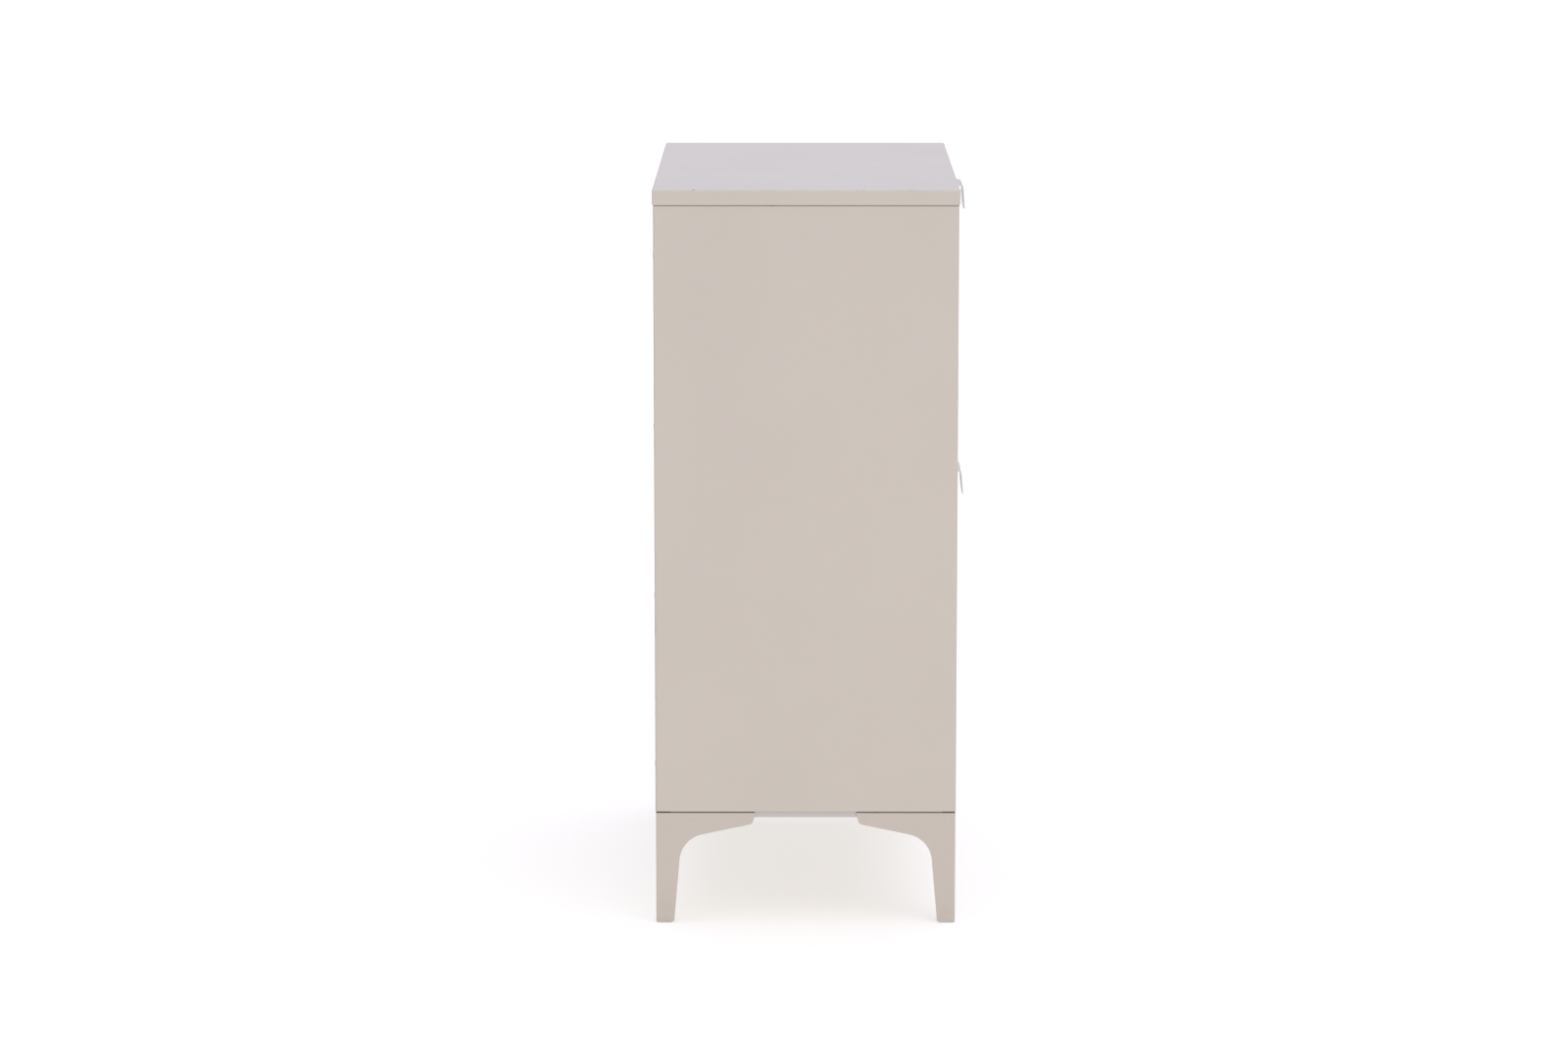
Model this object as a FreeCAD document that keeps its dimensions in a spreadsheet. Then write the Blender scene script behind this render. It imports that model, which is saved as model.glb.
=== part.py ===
import FreeCAD, Part
import os
import re
import Sketcher

# Two-drawer metal filing cabinet on sheet-metal corner legs.
#
# X points right and Y points back for someone facing the drawers, Z points up, in millimetres.
# The origin is on the floor, in the middle of the whole cabinet with its pulls.
# Every size is a cell of the sheet "Sizes". PLACES holds formulas of those cells, and every
# sub-part is bound to formulas of both, so a changed cell moves all that depends on it.

SIZES = [
    # overall
    ("cab_width", 700, "width over the cap"),
    ("cab_depth", 400, "depth over the cap"),
    ("body_height", 801.9, "height of the side panels"),
    ("leg_height", 148.6, "floor to the top edge of a leg"),
    ("leg_gap", 2.1, "dark gap between a leg and a side panel"),
    ("leg_inset", 0.5, "how far the legs stand in from the side panels"),
    ("cap_gap", 0.6, "dark gap between the side panels and the cap"),
    ("cap_height", 20.9, "height of the cap's walls"),
    ("cap_overhang", 1.5, "how far the cap stands proud of the body"),
    ("cap_bend", 2.5, "outer radius of the cap's bends"),
    ("cap_return", 12, "width of the cap's bottom return"),
    # sheet metal
    ("gauge", 1, "sheet of the carcass and the drawers"),
    ("leg_gauge", 1.5, "sheet of the legs"),
    ("bend", 1.6, "outer radius of a bend"),
    ("fit", 0.3, "clearance between loose pieces"),
    ("hole_play", 0.15, "radial clearance round a fastener"),
    # carcass
    ("stile", 20, "width of the front posts"),
    ("post_lip", 40, "depth of the front posts' inner lip"),
    ("back_return", 16, "width of the side panels' back return"),
    ("top_return", 30, "width of the side panels' top return"),
    ("cap_screw_in", 20, "distance of the cap's screws from the body's sides"),
    ("pan_drop", 6, "how far the base pan hangs below the leg tops"),
    ("pan_wall", 24, "height of the base pan's walls above the side panels' lower edge"),
    ("pan_notch", 18, "corner notches of the base pan"),
    ("sill_height", 15, "height of the visible sill under the lower drawer"),
    ("rail_depth", 17, "depth of the front rails"),
    ("rail_height", 24, "height of the front rails"),
    ("rail_space", 3, "space between a drawer front and the rails"),
    ("channel_width", 40, "width of the cap's stiffening channels"),
    ("channel_lip", 12, "width of their glued lips"),
    ("channel_inset", 60, "distance of the channels from the cap's edges"),
    ("hook_spacing", 300, "distance between the two wall fixing holes"),
    ("hook_drop", 40, "distance of the wall fixing holes below the body's top"),
    ("hook_radius", 3.25, "radius of the wall fixing holes"),
    ("back_screw_margin", 64, "distance of the outer back screws from the panel's ends"),
    # legs
    ("foot_width", 23.7, "width of a leg at the floor"),
    ("knee_out", 33.7, "distance of the knee from the outer edge"),
    ("knee_drop", 34.9, "distance of the knee below the leg's top"),
    ("knee_radius", 38, "radius of the knee"),
    ("wing_length", 131.5, "length of a leg's wing along the body"),
    ("wing_taper", 4, "slope of the wing's end"),
    ("wing_end", 15, "height of the wing's end"),
    ("tip_radius", 6, "radius at the wing's end"),
    ("toe_radius", 3.5, "radius of the foot's inner corner"),
    ("leg_flange", 25, "width of the bolted flange"),
    ("flange_length", 120, "length of the bolted flange"),
    ("flange_corner", 62, "reach of the flange's corner web"),
    ("bolt_in", 13, "distance of the outer bolts from the wing"),
    ("bolt_along", 100, "distance of the outer bolts from the corner"),
    ("bolt_corner", 32, "distance of the corner bolt from both wings"),
    ("sole_level", 4, "height of the plate that holds the foot pad"),
    ("pad_show", 0.8, "how far a foot pad stands below its leg"),
    # drawers
    ("front_gap", 3.5, "gap above each drawer front"),
    ("side_gap", 2, "gap beside a drawer front"),
    ("sill_gap", 3, "gap under the lower drawer front"),
    ("front_thick", 20, "thickness of a drawer front"),
    ("front_return", 14, "width of the returns inside a drawer front"),
    ("tray_back_space", 23, "space behind a closed drawer's tray"),
    ("tray_headroom", 79.5, "tray's top below the upper edge of its front"),
    ("tray_lift", 22, "tray floor above the lower edge of its front"),
    ("tray_flange", 10, "width of the tray's top flange"),
    ("tray_bend", 0.9, "outer radius along a tray side's top"),
    ("front_flange", 12, "width of the flange screwed to the front"),
    ("tray_screw_margin", 29, "distance of the outer tray screws from the tray's edges"),
    ("file_rail_in", 11, "distance of the hanging-file rails from the tray's ends"),
    ("file_rail_thick", 2, "thickness of a hanging-file rail"),
    ("file_rail_height", 14, "height of a hanging-file rail"),
    # pulls
    ("pull_length", 84, "length of a pull"),
    ("pull_gauge", 1.8, "sheet of a pull"),
    ("pull_throat", 15.6, "how far a pull's bend stands out of the front"),
    ("pull_reach", 18.2, "how far a pull's lower edge stands out of the front"),
    ("pull_drop", 34, "height of a pull's lip"),
    ("pull_tab", 16, "height of the tab behind the front"),
    ("pull_bend", 4.5, "outer radius of a pull's bends"),
    ("pull_corner", 10, "corner radius of a pull's lip"),
    ("pull_screw_spacing", 42, "distance between a pull's screws"),
    # runners
    ("runner_start", 2, "runner's front end behind the drawer front"),
    ("runner_lift", 60, "runner's middle above the tray floor"),
    ("runner_thick", 12.7, "side space that a runner takes"),
    ("runner_half", 22.5, "half the height of the fixed member"),
    ("runner_gauge", 1.2, "sheet of the runner members"),
    ("runner_flange", 10.8, "width of the fixed member's flanges"),
    ("race_lip", 1.3, "ball-retaining lip of the fixed member"),
    ("ball_radius", 2.2, "radius of a runner ball"),
    ("ball_play", 0.05, "clearance between a ball and its race"),
    ("middle_in", 2, "moving middle member's web from the bracket"),
    ("inner_in", 4.2, "inner member's flange ends from the bracket"),
    ("ball_out", 3, "inner balls' middle from the ends of the inner member's flanges"),
    ("cage_gauge", 0.4, "sheet of a ball cage's web"),
    ("cage_play", 0.25, "clearance between a ball cage and the member beside it"),
    ("cage_blade", 0.8, "sheet of a ball cage's blades"),
    ("cage_length", 150, "length of a ball cage"),
    ("ball_pitch", 27, "distance between balls in a row"),
    ("rivet_margin", 70, "distance of a runner's outer rivets from its ends"),
    ("bracket_half", 35, "half the height of a runner bracket"),
    ("bracket_lip", 12, "width of a bracket's welded lips"),
    # fasteners and stops
    ("bolt_radius", 3, "leg bolt shank"),
    ("bolt_head", 5.5, "leg bolt head"),
    ("bolt_head_high", 3, "height of a leg bolt head"),
    ("nut_radius", 5.6, "weld nut"),
    ("nut_high", 5, "height of a weld nut"),
    ("screw_radius", 2, "sheet screw and rivet shank"),
    ("screw_head", 3.8, "sheet screw and rivet head"),
    ("screw_head_high", 1.4, "height of a screw or rivet head"),
    ("flat_head_high", 0.7, "height of the flat heads on the back panel and the pulls"),
    ("shank_in_head", 0.35, "how far a shank reaches into its head"),
    ("screw_end", 3, "how far a sheet screw passes its last sheet"),
    ("bumper_radius", 4, "rubber bumper"),
    ("bumper_inset", 60, "bumper's distance from the opening's edge"),
]

PLACES = {
    "side": "cab_width/2 - cap_overhang",
    "pull_past_cap": "pull_reach - cap_overhang",
    "cap_front": "(pull_past_cap - cab_depth)/2",
    "cap_back": "(pull_past_cap + cab_depth)/2",
    "front": "cap_front + cap_overhang",
    "back": "cap_back - cap_overhang",
    "body_low": "leg_height + leg_gap",
    "body_top": "body_low + body_height",
    "cap_low": "body_top + cap_gap",
    "cap_top": "cap_low + cap_height",
    "pan_low": "leg_height - pan_drop",
    "sill_top": "body_low + sill_height",
    "pan_skirt": "side - leg_inset - leg_gauge",
    "opening": "side - stile",
    "front_height": "(body_height - sill_height - sill_gap - 2*front_gap)/2",
    "front_half": "opening - side_gap",
    "front_inner": "front + front_thick",
    "rail_front": "front_inner + rail_space",
    "upper_top": "body_top - front_gap",
    "lower_top": "upper_top - front_height - front_gap",
    "middle_rail_mid": "lower_top + front_gap/2",
    "tray_half": "opening - runner_thick",
    "tray_end": "back - 2*gauge - tray_back_space",
    "tray_height": "front_height - tray_lift - tray_headroom",
    "runner_length": "tray_end - slide_start",
    "slide_start": "front_inner + runner_start",
    "slide_mid": "slide_start + runner_length/2",
    "outer_race": "runner_half - runner_gauge",
    "outer_balls": "outer_race - ball_play - ball_radius",
    "middle_half": "outer_balls - ball_radius - ball_play",
    "middle_race": "middle_half - runner_gauge",
    "inner_balls": "middle_race - ball_play - ball_radius",
    "inner_half": "inner_balls - ball_radius - ball_play",
    "outer_ball_in": "middle_in + 2*ball_radius",
    "inner_ball_in": "inner_in + ball_out",
}

DRAWERS = ("upper", "lower")
SIDES = (("left", -1), ("right", 1))
BALLS_IN_ROW = 6
CHANNEL_LINES = ("cap_front + channel_inset", "cap_back - channel_inset")
BALL_STEPS = [i - (BALLS_IN_ROW - 1) / 2 for i in range(BALLS_IN_ROW)]
LEG_SPOTS = (
    ("front_left", -1, -1),
    ("front_right", 1, -1),
    ("back_left", -1, 1),
    ("back_right", 1, 1),
)

doc = FreeCAD.newDocument("filing_cabinet")
sheet = doc.addObject("Spreadsheet::Sheet", "Sizes")
ALIASES = set()
nodes = []


def fill_sheet():
    """One row a size: its name, its number and what it is."""
    for row, (alias, number, meaning) in enumerate(SIZES, 1):
        sheet.set(f"A{row}", alias)
        sheet.set(f"B{row}", str(number))
        sheet.set(f"C{row}", meaning)
        sheet.setAlias(f"B{row}", alias)
        ALIASES.add(alias)
    doc.recompute()


def formula(text):
    """The expression with each place written out and each size pointing at its cell."""

    def spell(found):
        word = found.group(0)
        if word in PLACES:
            return f"({formula(PLACES[word])})"
        if word in ALIASES:
            return f"Sizes.{word}"
        raise ValueError(f"no size or place is called {word}")

    return re.sub(r"[a-z][a-z_]*", spell, str(text))


def value(text):
    """What a formula measures now, in millimetres."""
    return float(sheet.evalExpression(formula(text)))


def bind(thing, **sizes):
    """Ties properties to formulas; a double underscore stands for a dot."""
    for name, text in sizes.items():
        thing.setExpression(name.replace("__", "."), formula(text))


def low_high(pair):
    """The two formulas in rising order."""
    return sorted(pair, key=value)


def body(label):
    """An empty sub-part. Its label is the node's name."""
    made = doc.addObject("PartDesign::Body", "Body_" + label)
    made.Label = label
    made.AllowCompound = True
    nodes.append(made)
    return made


def plate(owner, xs, ys, zs, cut=False):
    """A straight piece of sheet, or a cut, between two formulas along each axis."""
    kind = "PartDesign::SubtractiveBox" if cut else "PartDesign::AdditiveBox"
    made = owner.newObject(kind, "Cut" if cut else "Sheet")
    for axis, span, pair in zip("xyz", ("Length", "Width", "Height"), (xs, ys, zs)):
        low, high = low_high(pair)
        bind(made, **{span: f"({high}) - ({low})", f"Placement__Base__{axis}": low})
    return made


def rod(owner, along, spot, span, radius, cut=False):
    """A round pin or hole. spot is its axis across the other two directions, in X, Y, Z order."""
    kind = "PartDesign::SubtractiveCylinder" if cut else "PartDesign::AdditiveCylinder"
    made = owner.newObject(kind, "Hole" if cut else "Pin")
    low, high = low_high(span)
    turn = {
        "x": FreeCAD.Rotation(FreeCAD.Vector(0, 1, 0), 90),
        "y": FreeCAD.Rotation(FreeCAD.Vector(1, 0, 0), -90),
        "z": FreeCAD.Rotation(),
    }[along]
    made.Placement = FreeCAD.Placement(FreeCAD.Vector(), turn)
    others = [axis for axis in "xyz" if axis != along]
    bind(made, Radius=radius, Height=f"({high}) - ({low})")
    bind(made, **{f"Placement__Base__{along}": low})
    for axis, text in zip(others, spot):
        bind(made, **{f"Placement__Base__{axis}": text})
    return made


def outline(owner, plane, corners, at="0"):
    """A closed sketch of straight lines with every corner tied to two formulas.

    plane is XY, XZ or YZ and at is its distance along the axis that it leaves out.
    """
    made = owner.newObject("Sketcher::SketchObject", "Outline")
    planes = {part.Role: part for part in owner.Origin.OriginFeatures}
    made.AttachmentSupport = [(planes[f"{plane}_Plane"], "")]
    made.MapMode = "FlatFace"
    bind(made, AttachmentOffset__Base__z=f"-1*({at})" if plane == "XZ" else at)
    points = [FreeCAD.Vector(value(a), value(b), 0) for a, b in corners]
    count = len(points)
    for i in range(count):
        made.addGeometry(Part.LineSegment(points[i], points[(i + 1) % count]))
    for i in range(count):
        made.addConstraint(Sketcher.Constraint("Coincident", i, 2, (i + 1) % count, 1))
    for i, (a, b) in enumerate(corners):
        for kind, text in (("DistanceX", a), ("DistanceY", b)):
            number = made.addConstraint(Sketcher.Constraint(kind, -1, 1, i, 1, value(text)))
            made.renameConstraint(number, f"{kind}{i}")
            made.setExpression(f"Constraints.{kind}{i}", formula(text))
    return made


def extrude(owner, sketch, length, backwards=False, cut=False):
    """Pad or pocket of a sketch. A pad on XZ grows towards the front unless it is backwards."""
    made = owner.newObject("PartDesign::Pocket" if cut else "PartDesign::Pad", "Extrusion")
    made.Profile = sketch
    made.Reversed = backwards
    bind(made, Length=length)
    sketch.Visibility = False
    return made


def fold(owner, radius, chosen):
    """Rounds the edges of the body's present shape that chosen(edge) picks."""
    doc.recompute()
    base = owner.Tip
    names = [f"Edge{i}" for i, edge in enumerate(base.Shape.Edges, 1) if chosen(edge)]
    if not names:
        raise ValueError(f"{owner.Label}: no edge to round")
    made = owner.newObject("PartDesign::Fillet", "Bend")
    made.Base = (base, names)
    bind(made, Radius=radius)
    return made


def near(a, b, slack=0.01):
    return abs(a - b) < slack


def edge_on(**places):
    """A test for straight edges that lie at the given places, such as x="side", z="body_low"."""
    spots = {axis: [value(t) for t in (p if isinstance(p, list) else [p])] for axis, p in places.items()}

    def test(edge):
        ends = [vertex.Point for vertex in edge.Vertexes]
        if len(ends) != 2:
            return False
        return all(
            any(all(near(getattr(end, axis), spot) for end in ends) for spot in wanted)
            for axis, wanted in spots.items()
        )

    return test


# ---------------------------------------------------------------- carcass


def top_cap():
    """A folded lid: a skin, four walls and a narrow return, seen in the shadow gap."""
    cap = body("top_cap")
    half = "cab_width/2"
    plate(cap, (f"-1*{half}", half), ("cap_front", "cap_back"), ("cap_low", "cap_top"))
    ring = edge_on(z=["cap_low", "cap_top"])
    upright = edge_on(x=[f"-1*{half}", half], y=["cap_front", "cap_back"])
    fold(cap, "cap_bend", lambda edge: ring(edge) or upright(edge))
    inner = f"{half} - gauge"
    plate(
        cap,
        (f"-1*({inner})", inner),
        ("cap_front + gauge", "cap_back - gauge"),
        ("cap_low + gauge", "cap_top - gauge"),
        cut=True,
    )
    mouth = f"{half} - cap_return"
    plate(
        cap,
        (f"-1*({mouth})", mouth),
        ("cap_front + cap_return", "cap_back - cap_return"),
        ("cap_low", "cap_low + gauge"),
        cut=True,
    )


def cap_channels():
    """Two hat channels glued under the skin, inside the bottom return, on the side panels' top returns."""
    made = body("cap_channels")
    reach = "cab_width/2 - cap_return - fit"
    for centre in CHANNEL_LINES:
        half = "channel_width/2"
        deck = "cap_top - gauge"
        corners = [
            (f"{centre} - {half} - channel_lip", deck),
            (f"{centre} - {half} - channel_lip", f"{deck} - gauge"),
            (f"{centre} - {half}", f"{deck} - gauge"),
            (f"{centre} - {half}", "body_top"),
            (f"{centre} + {half}", "body_top"),
            (f"{centre} + {half}", f"{deck} - gauge"),
            (f"{centre} + {half} + channel_lip", f"{deck} - gauge"),
            (f"{centre} + {half} + channel_lip", deck),
            (f"{centre} + {half} - gauge", deck),
            (f"{centre} + {half} - gauge", "body_top + gauge"),
            (f"{centre} - {half} + gauge", "body_top + gauge"),
            (f"{centre} - {half} + gauge", deck),
        ]
        extrude(made, outline(made, "YZ", corners, f"-1*({reach})"), f"2*({reach})")
        for way in (-1, 1):
            spot = (f"{way}*(side - cap_screw_in)", centre)
            rod(made, "z", spot, ("body_top", "body_top + gauge"), "screw_radius + hole_play", cut=True)


def side_panel(name, way):
    """Skin, front post with its lip, back return and top return, folded from one sheet."""
    made = body(f"side_panel_{name}")
    rear = "back - gauge"
    corners = [
        ("side", "front"),
        ("side", rear),
        ("side - back_return", rear),
        ("side - back_return", f"{rear} - gauge"),
        ("side - gauge", f"{rear} - gauge"),
        ("side - gauge", "front + gauge"),
        ("opening + gauge", "front + gauge"),
        ("opening + gauge", "front + post_lip"),
        ("opening", "front + post_lip"),
        ("opening", "front"),
    ]
    corners = [(f"{way}*({x})", y) for x, y in corners]
    extrude(made, outline(made, "XY", corners, "body_low"), "body_height")
    wide = edge_on(x=f"{way}*side", y=["front", rear])
    post = edge_on(x=f"{way}*opening", y="front")
    fold(made, "bend", lambda edge: wide(edge) or post(edge))
    inside = edge_on(x=f"{way}*(side - gauge)", y=["front + gauge", f"{rear} - gauge"])
    lip = edge_on(x=f"{way}*(opening + gauge)", y="front + gauge")
    fold(made, "bend - gauge", lambda edge: inside(edge) or lip(edge))
    plate(
        made,
        (f"{way}*(side - top_return)", f"{way}*(side - gauge/2)"),
        ("front + post_lip", f"{rear} - gauge"),
        ("body_top - gauge", "body_top"),
    )
    for centre in CHANNEL_LINES:
        spot = (f"{way}*(side - cap_screw_in)", centre)
        rod(made, "z", spot, ("body_top - gauge", "body_top"), "screw_radius + hole_play", cut=True)
    for level in BACK_SCREWS:
        spot = (f"{way}*(side - back_return/2)", level)
        rod(made, "y", spot, (rear, f"{rear} - gauge"), "screw_radius + hole_play", cut=True)


def spread(start, length, margin, count):
    """Evenly spaced places along a length, the outer ones a margin from its ends."""
    return [f"({start} + {margin} + ({length} - 2*{margin})*{i / (count - 1)})" for i in range(count)]


BACK_SCREWS = spread("body_low", "body_height", "back_screw_margin", 4)


def back_panel():
    """A flat sheet over the back returns, with a folded top and two wall fixing holes."""
    made = body("back_panel")
    reach = "side - bend"
    plate(made, (f"-1*({reach})", reach), ("back - gauge", "back"), ("body_low", "body_top"))
    lip = "side - top_return - fit"
    plate(made, (f"-1*({lip})", lip), ("back - back_return", "back"), ("body_top - gauge", "body_top"))
    foot = "side - back_return - fit"
    plate(
        made,
        (f"-1*({foot})", foot),
        ("back - 2*gauge", "back - gauge"),
        ("body_low", "body_low + pan_wall"),
    )
    for way in (-1, 1):
        for level in BACK_SCREWS:
            spot = (f"{way}*(side - back_return/2)", level)
            rod(made, "y", spot, ("back", "back - gauge"), "screw_radius + hole_play", cut=True)
        spot = (f"{way}*hook_spacing/2", "body_top - hook_drop")
        rod(made, "y", spot, ("back", "back - gauge"), "hook_radius", cut=True)


def base_pan():
    """The floor of the carcass. It hangs below the side panels, between the legs' wings."""
    made = body("base_pan")
    skirt = "pan_skirt"
    wall_top = "body_low + pan_wall"
    ahead = "front + pan_notch"
    behind = "back - 2*gauge - pan_notch"
    edge = "front + leg_inset + leg_gauge"
    rim = "back - leg_inset - leg_gauge"
    plate(made, (f"-1*{skirt}", skirt), (edge, rim), ("pan_low", "pan_low + gauge"))
    for way in (-1, 1):
        inner = f"{way}*({skirt} - gauge)"
        outer = f"{way}*(side - gauge)"
        plate(made, (f"{way}*{skirt}", inner), (ahead, behind), ("pan_low", "body_low + fit"))
        plate(made, (outer, inner), (ahead, behind), ("body_low + fit - gauge", "body_low + fit"))
        plate(
            made,
            (outer, f"{way}*(side - 2*gauge)"),
            (ahead, behind),
            ("body_low + fit - gauge", wall_top),
        )
    ends = "opening - fit"
    plate(made, (f"-1*({ends})", ends), (edge, f"{edge} + gauge"), ("pan_low", "sill_top"))
    plate(made, (f"-1*({ends})", ends), (edge, f"{edge} + rail_depth"), ("sill_top - gauge", "sill_top"))
    wide = "side - pan_notch - fit"
    plate(made, (f"-1*({wide})", wide), (rim, f"{rim} - gauge"), ("pan_low", "body_low - gauge"))
    plate(
        made,
        (f"-1*({wide})", wide),
        (rim, "back - 3*gauge"),
        ("body_low - 2*gauge", "body_low - gauge"),
    )
    plate(
        made,
        (f"-1*({wide})", wide),
        ("back - 2*gauge", "back - 3*gauge"),
        ("body_low - 2*gauge", wall_top),
    )
    for _, across, along in LEG_SPOTS:
        for out, deep in BOLTS:
            spot = (leg_x(across, out), leg_y(along, deep))
            rod(made, "z", spot, ("pan_low", "pan_low + gauge"), "bolt_radius + hole_play", cut=True)


def front_rail(label, low, high):
    """A channel across the opening, open to the back, welded between the posts' lips."""
    made = body(label)
    corners = [
        ("rail_front", low),
        ("rail_front + rail_depth", low),
        ("rail_front + rail_depth", f"{low} + gauge"),
        ("rail_front + gauge", f"{low} + gauge"),
        ("rail_front + gauge", f"{high} - gauge"),
        ("rail_front + rail_depth", f"{high} - gauge"),
        ("rail_front + rail_depth", high),
        ("rail_front", high),
    ]
    extrude(made, outline(made, "YZ", corners, "-1*opening"), "2*opening")
    bends = edge_on(y="rail_front", z=[low, high])
    fold(made, "bend", bends)


def bumpers():
    """Rubber stops on the rails, just clear of the closed drawer fronts."""
    made = body("frame_bumpers")
    levels = (
        "body_top - gauge - rail_height/2",
        "lower_top + front_gap + gauge + bumper_radius",
        "lower_top - gauge - bumper_radius",
    )
    for level in levels:
        for way in (-1, 1):
            spot = (f"{way}*(opening - bumper_inset)", level)
            rod(made, "y", spot, ("rail_front", "front_inner + fit"), "bumper_radius")


# ---------------------------------------------------------------- legs

BOLTS = (
    ("bolt_along", "bolt_in"),
    ("bolt_in", "bolt_along"),
    ("bolt_corner", "bolt_corner"),
)


def leg_x(across, out):
    """X of a point that lies out inwards from the leg's outer face."""
    return f"{across}*(side - leg_inset - ({out}))"


def leg_y(along, deep):
    """Y of a point that lies deep inwards from the leg's front or back face."""
    if along < 0:
        return f"front + leg_inset + ({deep})"
    return f"back - leg_inset - ({deep})"


def leg(name, across, along):
    """Two tapering wings folded at the corner, a bolted flange and a sole for the foot pad."""
    made = body(f"leg_{name}")
    profile = [
        ("0", "pad_show"),
        ("foot_width", "pad_show"),
        ("knee_out", "leg_height - knee_drop"),
        ("wing_length - wing_taper", "leg_height - wing_end"),
        ("wing_length", "leg_height"),
        ("0", "leg_height"),
    ]
    beside = [(leg_y(along, a), z) for a, z in profile]
    extrude(made, outline(made, "YZ", beside, leg_x(across, "0")), "leg_gauge", backwards=across > 0)
    ahead = [(leg_x(across, a), z) for a, z in profile]
    extrude(made, outline(made, "XZ", ahead, leg_y(along, "0")), "leg_gauge", backwards=along < 0)

    def at(a, z):
        one = edge_on(y=leg_y(along, a), z=z)
        two = edge_on(x=leg_x(across, a), z=z)
        return lambda edge: one(edge) or two(edge)

    fold(made, "knee_radius", at("knee_out", "leg_height - knee_drop"))
    fold(made, "tip_radius", at("wing_length - wing_taper", "leg_height - wing_end"))
    fold(made, "toe_radius", at("foot_width", "pad_show"))
    fold(made, "bend + leg_gauge/2", edge_on(x=leg_x(across, "0"), y=leg_y(along, "0")))
    flange = [
        ("leg_gauge/2", "leg_gauge/2"),
        ("flange_length", "leg_gauge/2"),
        ("flange_length", "leg_flange"),
        ("flange_corner", "leg_flange"),
        ("leg_flange", "flange_corner"),
        ("leg_flange", "flange_length"),
        ("leg_gauge/2", "flange_length"),
    ]
    flange = [(leg_x(across, a), leg_y(along, b)) for a, b in flange]
    extrude(made, outline(made, "XY", flange, "pan_low - leg_gauge"), "leg_gauge")
    plate(
        made,
        (leg_x(across, "leg_gauge/2"), leg_x(across, "foot_width - toe_radius")),
        (leg_y(along, "leg_gauge/2"), leg_y(along, "foot_width - toe_radius")),
        ("sole_level", "sole_level + leg_gauge"),
    )
    for out, deep in BOLTS:
        spot = (leg_x(across, out), leg_y(along, deep))
        rod(made, "z", spot, ("pan_low - leg_gauge", "pan_low"), "bolt_radius + hole_play", cut=True)
    middle = "(foot_width - toe_radius + leg_gauge)/2"
    spot = (leg_x(across, middle), leg_y(along, middle))
    rod(made, "z", spot, ("sole_level", "sole_level + leg_gauge"), "screw_radius + hole_play", cut=True)


def foot_pads():
    """Four plastic glides pressed into the soles."""
    made = body("foot_pads")
    middle = "(foot_width - toe_radius + leg_gauge)/2"
    near_edge = "leg_gauge + fit"
    far_edge = "foot_width - toe_radius"
    for _, across, along in LEG_SPOTS:
        plate(
            made,
            (leg_x(across, near_edge), leg_x(across, far_edge)),
            (leg_y(along, near_edge), leg_y(along, far_edge)),
            ("0", "sole_level"),
        )
        spot = (leg_x(across, middle), leg_y(along, middle))
        rod(made, "z", spot, ("sole_level - gauge", "sole_level + leg_gauge + screw_end"), "screw_radius")


def leg_bolts():
    """Three bolts up through each leg's flange and the base pan."""
    made = body("leg_bolts")
    seat = "pan_low - leg_gauge"
    for _, across, along in LEG_SPOTS:
        for out, deep in BOLTS:
            spot = (leg_x(across, out), leg_y(along, deep))
            rod(made, "z", spot, (f"{seat} - bolt_head_high", seat), "bolt_head")
            span = (f"{seat} - shank_in_head", "pan_low + gauge + nut_high + screw_end")
            rod(made, "z", spot, span, "bolt_radius")


def weld_nuts():
    """The nuts of the leg bolts, welded on the base pan."""
    made = body("weld_nuts")
    span = ("pan_low + gauge", "pan_low + gauge + nut_high")
    for radius, cut in (("nut_radius", False), ("bolt_radius + hole_play", True)):
        for _, across, along in LEG_SPOTS:
            for out, deep in BOLTS:
                rod(made, "z", (leg_x(across, out), leg_y(along, deep)), span, radius, cut=cut)


def panel_screws():
    """Screws that hold the back panel and the cap's channels to the side panels."""
    made = body("panel_screws")
    for way in (-1, 1):
        for level in BACK_SCREWS:
            spot = (f"{way}*(side - back_return/2)", level)
            rod(made, "y", spot, ("back", "back + flat_head_high"), "screw_head")
            rod(made, "y", spot, ("back + shank_in_head", "back - 2*gauge - screw_end"), "screw_radius")
        for centre in CHANNEL_LINES:
            spot = (f"{way}*(side - cap_screw_in)", centre)
            under = "body_top - gauge"
            span = (f"{under} - shank_in_head", "body_top + gauge + screw_end")
            rod(made, "z", spot, (under, f"{under} - screw_head_high"), "screw_head")
            rod(made, "z", spot, span, "screw_radius")


# ---------------------------------------------------------------- runners


def inward(way, depth):
    """X of a point that lies depth inwards from a runner bracket's face."""
    return f"{way}*(opening - ({depth}))"


def tray_low(drawer):
    return f"({drawer}_top - front_height + tray_lift)"


def runner_level(drawer):
    return f"({tray_low(drawer)} + runner_lift)"


RIVETS = spread("slide_start", "runner_length", "rivet_margin", 3)


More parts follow.
